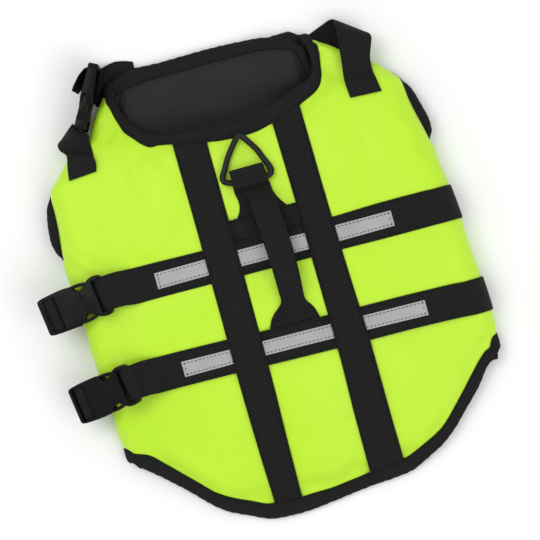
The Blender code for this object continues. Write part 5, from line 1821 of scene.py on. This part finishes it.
def table_rows(table):
    """Rows of a ribbon from its two edges, where no height means that it rests on what is there."""
    resting = [row for row in table if row[2] is None]
    free = [line_across(row[:3], row[3:]) for row in table if row[2] is not None]
    if not resting:
        return free
    first, last = resting[0], resting[-1]
    edges = []
    for share in np.linspace(0, 1, 6):
        a = [mix(first[k], last[k], share) for k in (0, 1)]
        b = [mix(first[k], last[k], share) for k in (3, 4)]
        edges.append((a, b))
    return drape(edges, above=SEAM) + free


def crested_row(left, crest, right):
    """Points across a strap that bends over a crest near its right edge."""
    shares = np.linspace(0, 1, ACROSS)
    edges = zip(left, crest, right)
    return np.stack([np.interp(shares, (0, 5 / 6, 1), places) for places in edges], axis=1)


def rest_on(row):
    """The same row with no point below the surface it lies on."""
    return np.array([(x, y, max(z, height(x, y) + SEAM)) for x, y, z in row])


def upright_rows(frame, path):
    """Rows of webbing that stands upright or leans, along a path in a buckle's own frame."""
    return [upright_row(frame, *place)[::-1] for place in path]


sewn = drape([(row[:2], row[2:]) for row in NECK_STRAP_LEFT_SEWN], above=SEAM)
free = [rest_on(crested_row(row[:3], row[3:6], row[6:])) for row in NECK_STRAP_LEFT_FREE]
loop = [(*bar_loop(turn), 0.0) for turn in np.linspace(math.pi / 2 + 0.5, -math.pi / 2 - 0.36, 12)]
strap("neck_strap_left_webbing", "neck_strap_left", sewn + free + upright_rows(neck_frame, loop))
strap("neck_strap_right_webbing", "neck_strap_right", table_rows(NECK_STRAP_RIGHT))
tab_rows = table_rows(CHEST_TAB) + upright_rows(neck_frame, CHEST_TAB_IN_SOCKET)
strap("chest_tab_webbing", "chest_tab", tab_rows, rib_depth=RIB_DEPTH * 0.35)
seam_along(np.linspace(*CHEST_TAB_SEAM, 6))

# %% [markdown]
# ## Bindings
# Raw edges are closed by a tape folded in half over them.  Its section is a flat loop: it grips
# the cloth, dips where it is sewn, and is fullest near its fold.  A bevelled curve has the same
# section everywhere, but here it must lean with the cloth and climb over the ends of the straps,
# so rings of points are lofted.

# %% A binding's rows
BindingRow = namedtuple("BindingRow", "cloth free thick")
BINDING_PROFILE = (
    # share of the tape's width from the cloth's edge, half-thickness
    (-0.12, 1.95),
    (-0.02, 2.45),
    (0.09, 2.3),
    (0.24, 2.62),
    (0.5, 2.75),
    (0.74, 2.45),
    (0.9, 1.6),
    (1.0, 0.0),
)
STITCH_PLACE = 2  # the profile's row along which it is sewn
LIFT_SHARES = (1, 1, 1, 0.9, 0.7, 0.45, 0.2)  # how far each row of the profile follows a strap
TAPE_FACE = 12  # width of one face of the tape, for its threads
HEM_BINDING_WIDTH = 12.5
ARMHOLE_BINDING_WIDTH = 11.5
BINDINGS = []


def rim(grids, row, column, reach):
    """A row of binding at a point of a panel's edge, reaching that far from the cloth."""
    outer, inner = (Vector(grid[row][column]) for grid in grids)
    cloth = (outer + inner) / 2
    return BindingRow(cloth, cloth + Vector(reach), (outer - inner).normalized())


def spaced(rows, least=2.2):
    """Rows without those that crowd the one before."""
    kept = [rows[0]]
    for row in rows[1:]:
        if ((row.cloth + row.free) - (kept[-1].cloth + kept[-1].free)).length / 2 > least:
            kept.append(row)
    return kept


def ease(vectors, closed, passes=5):
    """Vectors along a path with their quick turns evened out."""
    for _ in range(passes):
        padded = np.pad(vectors, ((1, 1), (0, 0)), mode="wrap" if closed else "edge")
        vectors = (padded[:-2] + 2 * padded[1:-1] + padded[2:]) / 4
    return vectors


def pucker(lengths, seed):
    """Small uneven waves along a tape, from -1 to 1."""
    waves = ((7.3, 0.5), (11.9, 0.3), (4.3, 0.2))
    turns = 2 * math.pi * lengths
    return sum(share * np.sin(turns / pitch + seed * pitch) for pitch, share in waves)


def lift_over(rings, thick, reach=4):
    """Raises the part of a tape that lies on cloth over the straps that run under it."""
    lift = np.zeros(len(rings))
    for k, ring in enumerate(rings):
        if thick[k][2] > 0.45:
            for x, y, z in ring[:reach]:
                need = height(x, y) + 0.25 - z
                if need < 3.4:
                    lift[k] = max(lift[k], need)
    widened = np.max([np.roll(lift, k) for k in (-1, 0, 1)], axis=0)
    weights = np.array((1, 2, 3, 2, 1)) / 9
    return np.convolve(np.pad(widened, 2, mode="edge"), weights, mode="valid")


def binding(name, node, rows, closed=False, seed=1.0):
    """Tape folded over an edge, its seams sewn on both faces."""
    packed = [[row.cloth, row.free, row.cloth + row.thick * 4] for row in spaced(rows)]
    grid, lengths = through(packed, TAPE_STEP, closed)
    cloth = grid[:, 0]
    free = cloth + ease(grid[:, 1] - cloth, closed)
    thick = unit(ease(grid[:, 2] - cloth, closed))
    centre = (cloth + free) / 2
    if closed:
        tangent = np.roll(centre, -1, axis=0) - np.roll(centre, 1, axis=0)
    else:
        tangent = np.gradient(centre, axis=0)
    width = free - cloth
    normal = unit(np.cross(width, tangent))
    normal *= np.sign((normal * thick).sum(axis=1, keepdims=True))
    waves = pucker(lengths, seed)
    width *= 1 + 0.025 * np.roll(waves, 3)[:, None]
    sides = []
    for side in (1, -1):
        for share, half in BINDING_PROFILE if side > 0 else BINDING_PROFILE[-2::-1]:
            turn = smooth(share / 0.8)
            direction = unit(thick * (1 - turn) + normal * turn)
            puffed = half * (1 + 0.07 * waves * smooth(share * 3))[:, None]
            sides.append(cloth + width * share + direction * side * puffed)
    rings = np.stack(sides, axis=1)
    lift = lift_over(rings, thick)
    for k, share in enumerate(LIFT_SHARES):
        rings[:, k, 2] += lift * share
    rings[:, :, 2] = np.maximum(rings[:, :, 2], 0.0)
    around = [share * TAPE_FACE for share, _ in BINDING_PROFILE]
    around += [2 * TAPE_FACE - share * TAPE_FACE for share, _ in BINDING_PROFILE[-2::-1]]
    count = rings.shape[1]
    points = rings.reshape(-1, 3).tolist()
    threads = np.repeat(lengths, count), np.tile(around, len(rings))
    made = cloth_object(name, points, ring_faces(count, len(rings), closed), *threads, (twill,))
    for k in (STITCH_PLACE, count - 1 - STITCH_PLACE):
        seam = rings[:, k] + unit(rings[:, k] - rings.mean(axis=1)) * 0.1
        SEAMS.append(np.concatenate([seam, seam[:1]]) if closed else seam)
    BINDINGS.append(made)
    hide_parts(node)
    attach(made, "jacket")
    print(name, round(float(lengths[-1])), "mm long,", len(made.data.polygons), "faces")


# %% Neckline and chest


def edge_reach(table, places, place, under):
    """How far the binding reaches beside a place of the neckline or the hem, or under the body."""
    rows = np.array(table, float)
    reach = [Column(list(zip(places, rows[:, k + 2] - rows[:, k])), 1)(place) for k in (0, 1)]
    return Vector((*reach, 0)).lerp(Vector(under), smooth((abs(place) - 1.5) / 0.25))


SHOULDER_SEAM_START = 176  # from this y on, the chest's right edge is bound
NECK_FIRST_COLUMN = -1.78  # the back's column at which its bound edge starts, on the left
NECK_TAPE_END = (
    # free edge's x, y under the chest
    (74.4, 222.3),
    (67.9, 222.4),
    (59.9, 222.3),
    (52.0, 221.6),
)
NECK_TAPE_END_WIDTH = 10.6
neck_rows = []
for k, nominal in enumerate(ROWS[:-1]):
    if nominal > SHOULDER_SEAM_START:
        forwards = 0.8 + 1.2 * (nominal - SHOULDER_SEAM_START) / 23
        neck_rows.append(rim(belly, k, -1, (8.0, forwards, 1.0)))
chest_reach = [Column(CHEST_BINDING_REACH, k) for k in (1, 2, 3)]
for k in range(len(SHARES) - 1, -1, -1):
    neck_rows.append(rim(belly, last_row, k, [reach(SHARES[k]) for reach in chest_reach]))
for k, column in enumerate(COLUMNS):
    if column > NECK_FIRST_COLUMN:
        place = back_place(column, BODY_END)[0]
        under = (2.5, 8.0, 2.4) if place < 0 else (-5.0, 7.0, 0)
        row = rim(back, last_row, k, edge_reach(NECK, NECK_PLACES, place, under))
        if place < 1.6 or row.cloth.x > 84:
            neck_rows.append(row)
for x, y in NECK_TAPE_END:
    free = Vector((x, y, 4.0))
    cloth = free - Vector((0, NECK_TAPE_END_WIDTH, 0))
    neck_rows.append(BindingRow(cloth, free, Vector((0, 0, -1))))
binding("neck_tape", "neck_binding", neck_rows, seed=1.3)

# %% Hems
hem_rows = []
for k, column in enumerate(COLUMNS):
    place = back_place(column, BODY_START)[0]
    row = rim(back, 0, k, edge_reach(HEM, HEM_PLACES, place, (0, -HEM_BINDING_WIDTH, 0)))
    sag = smooth((1.5 - abs(place)) / 0.3) * max(0.0, 0.5 * row.cloth.z - 3.2)
    hem_rows.append(BindingRow(row.cloth, row.free - Vector((0, 0, sag)), row.thick))
binding("hem_tape", "hem_binding", hem_rows, seed=2.1)
belly_hem = [rim(belly, 0, k, (0, 1 - HEM_BINDING_WIDTH, 0)) for k in range(0, len(SHARES), 2)]
binding("belly_hem_tape", "belly_hem_binding", belly_hem, seed=0.4)

# %% Leg holes


def fold_width(hole, t):
    """Share of its usual width that the tape's upper run has; t is 1 at the hole's front end."""
    return 1.15 if hole.side < 0 else 1.06 + 0.16 * max(t, 0)


def armhole_rows(hole):
    """A ring of tape along the back's fold edge one way and the belly's edge the other."""
    inside = [k for k, y in enumerate(ROWS) if abs(y - hole.middle) < hole.half_length * 0.955]
    edge = 0 if hole.side < 0 else -1

    def reach(row, side_part):
        t = (ROWS[row] - hole.middle) / hole.half_length
        direction = side_part * math.sqrt(1 - t * t) + Vector((0, -0.9 * t, 0))
        wider = fold_width(hole, t) if side_part.z else 1
        return direction.normalized() * ARMHOLE_BINDING_WIDTH * wider

    def end(side):
        """The tape's turn at the hole's end, under the body."""
        y = hole.middle - side * (hole.half_length + 0.8)
        cloth = Vector(((seam_left if hole.side < 0 else seam_right)(y), y, BOUND_EDGE / 2))
        free = cloth + Vector((0, side * ARMHOLE_BINDING_WIDTH * 0.8, 0))
        return BindingRow(cloth, free, Vector((0, 0, -1)))

    fold = Vector((hole.side * 0.82, 0, -0.57))
    flat = Vector((hole.side, 0, 0))
    rows = [rim(back, k, edge, reach(k, fold)) for k in inside]
    rows.append(end(-1))
    rows += [rim(belly, k, edge, reach(k, flat)) for k in reversed(inside)]
    return rows + [end(1)]


for hole, side in zip(LEG_HOLES, ("left", "right")):
    rows, seed = armhole_rows(hole), hole.side + 1.7
    binding("armhole_tape_" + side, "armhole_binding_" + side, rows, closed=True, seed=seed)
for made in BINDINGS:
    add_to_pile(made)

# %% [markdown]
# ## Lead ring
# The ring is one bent wire: a straight base bar, two sides and a round tip, made from a smooth
# closed curve through its corners.  It keeps its own body, because it swings on the base bar.

# %% Lead ring
WIRE_SIDES = 14


def lead_ring():
    x, y, rise = RING_BAR
    origin = np.array((x, y, back_height(x, y) + rise))
    reach = max(away for _, away in RING_OUTLINE)
    along = np.array((math.cos(RING_TURN), math.sin(RING_TURN), 0))
    away = unit(np.array((-math.sin(RING_TURN), math.cos(RING_TURN), -RING_TIP_DROP / reach)))
    outline = [[origin + along * u + away * v] for u, v in RING_OUTLINE]
    line, lengths = through(outline, 1.1, closed=True)
    line = line[:, 0]
    for _ in range(6):
        line = (np.roll(line, 1, axis=0) + 2 * line + np.roll(line, -1, axis=0)) / 4
    tangent = unit(np.roll(line, -1, axis=0) - np.roll(line, 1, axis=0))
    up = unit(np.cross(along, away))
    out = np.cross(tangent, up)
    turns = np.linspace(0, 2 * math.pi, WIRE_SIDES, endpoint=False)
    rings = [line + (out * math.cos(turn) + up * math.sin(turn)) * RING_WIRE / 2 for turn in turns]
    points = np.stack(rings, axis=1).reshape(-1, 3).tolist()
    runs = np.repeat(lengths, WIRE_SIDES)
    faces = ring_faces(WIRE_SIDES, len(line), closed=True)
    made = cloth_object("ring_wire", points, faces, runs, runs * 0, (painted_wire,))
    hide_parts("lead_ring")
    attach(made, "ring")
    return made


ring = lead_ring()
print("ring:", len(ring.data.polygons), "faces")

# %% [markdown]
# ## Stitches
# Every strap and tape is sewn with dashes of thread.  The seams are plain lines kept while the
# pieces were made; a node tree walks each line at the stitch's pitch and sets a small stretched
# ball of thread there.  One mesh of real stitches catches light where a painted line would not.

# %% Node tree for stitches
STITCH_PITCH = 0.0034
STITCH_LENGTH = 0.0025
THREAD_RADIUS = 0.00033
STITCH_SIZES = {
    "Pitch": STITCH_PITCH,
    "Length": STITCH_LENGTH,
    "Thread": THREAD_RADIUS,
    "Seed": 7,
}


def sewn_stitches():
    tree, given, made = new_tree("sewn_stitches", STITCH_SIZES)
    curve = add(tree, "GeometryNodeMeshToCurve", -700)
    join(tree, given.outputs["Geometry"], curve.inputs["Mesh"])
    walk = add(tree, "GeometryNodeResampleCurve", -500, mode="LENGTH")
    join(tree, curve.outputs["Curve"], walk.inputs["Curve"])
    join(tree, given.outputs["Pitch"], walk.inputs["Length"])
    ball = add(tree, "GeometryNodeMeshUVSphere", -300)
    set_inputs(ball, {"Segments": 6, "Rings": 4, "Radius": 1.0})
    tangent = add(tree, "GeometryNodeInputTangent", -500)
    turn = add(tree, "FunctionNodeAlignRotationToVector", -300, axis="X")
    join(tree, tangent.outputs["Tangent"], turn.inputs["Vector"])
    vary = add(tree, "FunctionNodeRandomValue", -500, data_type="FLOAT")
    vary.inputs[2].default_value = 0.42
    vary.inputs[3].default_value = 0.54
    join(tree, given.outputs["Seed"], vary.inputs["Seed"])
    size = add(tree, "ShaderNodeCombineXYZ", -100)
    join(tree, calc(tree, "MULTIPLY", given.outputs["Length"], vary.outputs[1]), size.inputs["X"])
    join(tree, given.outputs["Thread"], size.inputs["Y"])
    join(tree, given.outputs["Thread"], size.inputs["Z"])
    sewn = add(tree, "GeometryNodeInstanceOnPoints", 200)
    join(tree, walk.outputs["Curve"], sewn.inputs["Points"])
    join(tree, ball.outputs["Mesh"], sewn.inputs["Instance"])
    join(tree, turn.outputs["Rotation"], sewn.inputs["Rotation"])
    join(tree, size.outputs["Vector"], sewn.inputs["Scale"])
    end_tree(tree, given, made, sewn.outputs["Instances"])
    return tree


# %% Stitches
THREAD_FLOOR = 0.4  # no thread lies lower, under the table
seam_points, seam_edges = [], []
for line in SEAMS:
    first = len(seam_points)
    seam_points += [Vector((x, y, max(z, THREAD_FLOOR))) * MM for x, y, z in line]
    seam_edges += [(k, k + 1) for k in range(first, len(seam_points) - 1)]
stitch_mesh = bpy.data.meshes.new("stitches")
stitch_mesh.from_pydata(seam_points, seam_edges, [])
stitches = new_object("stitches", stitch_mesh)
run_tree(stitches, sewn_stitches(), STITCH_SIZES | {"Finish": thread})
stitches.data.shade_smooth()
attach(stitches, "jacket")
print("stitches:", len(SEAMS), "seams,", len(stitches.data.polygons), "faces")

# %% [markdown]
# ## Buckles
# A side-release buckle is moulded in two halves: a plug with two sprung prongs and a socket with
# an adjuster.  Its outline is half a table mirrored about the webbing's middle, drawn as a smooth
# filled curve with rounded rims.  The openings for the webbing are then cut by Booleans, because
# their walls must stay straight.

# %% Buckle outlines
PLUG_OUTLINE = (
    # along from the end bar, across
    (-2.7, 15.2),
    (-1.8, 17.0),
    (1.0, 17.9),
    (4.0, 18.0),
    (7.5, 17.3),
    (10.5, 15.5),
    (13.5, 13.0),
    (16.0, 11.4),
    (18.0, 10.9),
    (19.6, 10.6),
)
SOCKET_OUTLINE = (
    # along from the end bar, across
    (18.2, 10.9),
    (20.0, 11.5),
    (21.8, 13.4),
    (23.4, 15.6),
    (25.6, 16.9),
    (29.0, 17.4),
    (41.5, 17.4),
    (48.0, 17.0),
    (53.5, 16.3),
    (55.7, 15.4),
    (56.4, 13.6),
)
PRONG_PATH = ((10.6, 13.9), (13.5, 14.8), (17.0, 15.4), (21.0, 15.7), (26.5, 15.2))
PLUG_THICKNESS, SOCKET_THICKNESS, SOCKET_END_THICKNESS = 10.4, 11.2, 8.8
SOCKET_LEVEL = 6  # length from its mouth over which the socket keeps its full thickness
BAR = (-2.7, 3.5, 3.0)  # a plug's end bar: its two edges along the buckle and its thickness
PLUG_WINDOW_END = 6.2
WINDOW_HALF_WIDTH = 14.8  # of the openings that the webbing runs through
WINDOW = (-WINDOW_HALF_WIDTH, WINDOW_HALF_WIDTH)
RIGHT_THROUGH = (-8, 8)  # heights of a cutter that goes through the whole buckle
NEAR_SLOT, FAR_SLOT = (40.6, 43.2), (50.5, 53.0)

# %% Parts of a buckle, in metres in its own frame


def kept_mesh(obj):
    """The mesh that an object shows, with its object put away."""
    mesh = shown_mesh(obj)
    bpy.data.objects.remove(obj)
    return mesh


def merged(mesh):
    """A mesh whose doubled points are one and whose faces point out."""
    shape = bmesh.new()
    shape.from_mesh(mesh)
    bmesh.ops.remove_doubles(shape, verts=shape.verts, dist=1e-6)
    bmesh.ops.recalc_face_normals(shape, faces=shape.faces)
    shape.to_mesh(mesh)
    shape.free()
    return mesh


def plate(half_outline, thickness, rounding):
    """A plate with a mirrored smooth outline and rounded rims."""
    half, _ = through([[(*point, 0)] for point in half_outline], 0.9)
    half = half[:, 0]
    outline = np.concatenate([half, half[::-1] * (1, -1, 1)])
    curve = bpy.data.curves.new("plate", "CURVE")
    curve.dimensions = "2D"
    curve.fill_mode = "BOTH"
    curve.extrude = (thickness / 2 - rounding) * MM
    curve.bevel_depth = rounding * MM
    curve.bevel_resolution = 2
    curve.offset = -rounding * MM
    spline = curve.splines.new("POLY")
    spline.points.add(len(outline) - 1)
    for point, (along, across, _) in zip(spline.points, outline):
        point.co = (along * MM, across * MM, 0, 1)
    spline.use_cyclic_u = True
    return merged(kept_mesh(new_object("plate", curve)))


def block(along, across, up):
    """A box between two places along, across and up."""
    corners = [Vector((a, c, u)) * MM for a in along for c in across for u in up]
    mesh = bpy.data.meshes.new("block")
    quads = ((0, 1, 3, 2), (4, 6, 7, 5), (0, 4, 5, 1), (2, 3, 7, 6), (0, 2, 6, 4), (1, 5, 7, 3))
    mesh.from_pydata(corners, [], quads)
    return merged(mesh)


def rod(line, half_width, half_height, sides=12):
    """A rounded bar along points, wide and high by its two halves."""
    line = np.array(line, float)
    tangent = unit(np.gradient(line, axis=0))
    side = unit(np.cross(tangent, (0, 0, 1)))
    turns = np.linspace(0, 2 * math.pi, sides, endpoint=False)
    rings = []
    for k, share in [(0, 0.6)] + [(k, 1.0) for k in range(len(line))] + [(len(line) - 1, 0.6)]:
        place = line[k] + tangent[k] * {0: -0.4, len(line) - 1: 0.4}.get(k, 0.0) * (share < 1)
        cos, sin = np.cos(turns), np.sin(turns)
        wide = np.sign(cos) * np.abs(cos) ** 0.6 * half_width * share
        high = np.sign(sin) * np.abs(sin) ** 0.6 * half_height * share
        rings.append(place + side[k] * wide[:, None] + np.array((0, 0, 1)) * high[:, None])
    mesh = bpy.data.meshes.new("rod")
    points = [Vector(p) * MM for p in np.concatenate(rings)]
    mesh.from_pydata(points, [], ring_faces(sides, len(rings)))
    return merged(mesh)


def combined(base, joined, cut):
    """A mesh with others joined to it and then cut from it."""
    whole = new_object("whole", base)
    helpers = []
    for mesh, operation in [(m, "UNION") for m in joined] + [(m, "DIFFERENCE") for m in cut]:
        helper = new_object("helper", mesh)
        helpers.append(helper)
        modifier = whole.modifiers.new(operation, "BOOLEAN")
        modifier.operation = operation
        modifier.solver = "MANIFOLD"
        modifier.object = helper
    mesh = kept_mesh(whole)
    for helper in helpers:
        bpy.data.objects.remove(helper)
    return mesh


# %% Plug and socket
def plug_mesh():
    body = plate(PLUG_OUTLINE, PLUG_THICKNESS, rounding=1.3)
    window = block((-6, PLUG_WINDOW_END), WINDOW, RIGHT_THROUGH)
    framed = combined(body, joined=[], cut=[window])
    near, far, thick = BAR
    middle, half = (near + far) / 2, (far - near) / 2
    bar_end = WINDOW_HALF_WIDTH + 1.4
    bar_line = [(middle, c, 0) for c in np.linspace(-bar_end, bar_end, 5)]
    bar = rod(bar_line, half_width=half, half_height=thick / 2, sides=16)
    lips = []
    for up in (-1, 1):
        along, height_up = PLUG_WINDOW_END + 0.5, up * (PLUG_THICKNESS / 2 - 0.25)
        edge = [(along, c, height_up) for c in np.linspace(-13.6, 13.6, 5)]
        lips.append(rod(edge, half_width=0.55, half_height=0.55, sides=8))
    prongs = []
    for side in (1, -1):
        path, _ = through([[(a, c * side, 0)] for a, c in PRONG_PATH], 1.2)
        prongs.append(rod(path[:, 0], half_width=1.6, half_height=3.3))
    tongue = block((17.0, 36.0), (-7.4, 7.4), (-2.2, 2.2))
    return combined(framed, joined=[bar, tongue, *lips, *prongs], cut=[])


def socket_mesh():
    body = plate(SOCKET_OUTLINE, SOCKET_THICKNESS, rounding=1.5)
    mouth_height = PLUG_THICKNESS / 2 + 0.05
    mouth = block((17.5, 20.4), (-11.6, 11.6), (-mouth_height, mouth_height))
    pocket = block((17.5, 38), (-7.9, 7.9), (-2.7, 2.7))
    arms = [block((17.5, 30), sorted((side * 13.2, side * 19.0)), (-3.7, 3.7)) for side in (1, -1)]
    slots = [block(slot, WINDOW, RIGHT_THROUGH) for slot in (NEAR_SLOT, FAR_SLOT)]
    span = (NEAR_SLOT[1] - 0.5, FAR_SLOT[0] + 0.5)
    recesses = [block(span, WINDOW, sorted((side * 1.8, side * 8.0))) for side in (1, -1)]
    made = combined(body, joined=[], cut=[mouth, pocket, *arms, *slots, *recesses])
    start, end = SOCKET_OUTLINE[0][0] + SOCKET_LEVEL, SOCKET_OUTLINE[-1][0]
    for vertex in made.vertices:
        share = smooth((vertex.co.x / MM - start) / (end - start))
        vertex.co.z *= mix(1.0, SOCKET_END_THICKNESS / SOCKET_THICKNESS, share)
    return made


def place_buckle(name, frame, meshes):
    """Sets a buckle's two halves in a frame, in place of their solids."""
    for part, mesh in meshes.items():
        copy = mesh.copy()
        for vertex in copy.vertices:
            along, across, up = vertex.co
            vertex.co = at(frame, along / MM, across / MM, up / MM) * MM
        if frame.along.cross(frame.across).dot(frame.up) < 0:
            copy.flip_normals()
        copy.shade_smooth()
        copy.set_sharp_from_angle(angle=math.radians(38))
        copy.materials.clear()
        copy.materials.append(plastic)
        made = new_object(f"{name}_{part}_moulded", copy)
        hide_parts(f"{name}_{part}")
        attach(made, "jacket")


halves = {"plug": plug_mesh(), "socket": socket_mesh()}
for name, frame_of_buckle in [*belt_frames.items(), (NECK_BUCKLE[0], neck_frame)]:
    place_buckle(name, frame_of_buckle, halves)
print("buckle faces:", {part: len(mesh.polygons) for part, mesh in halves.items()})
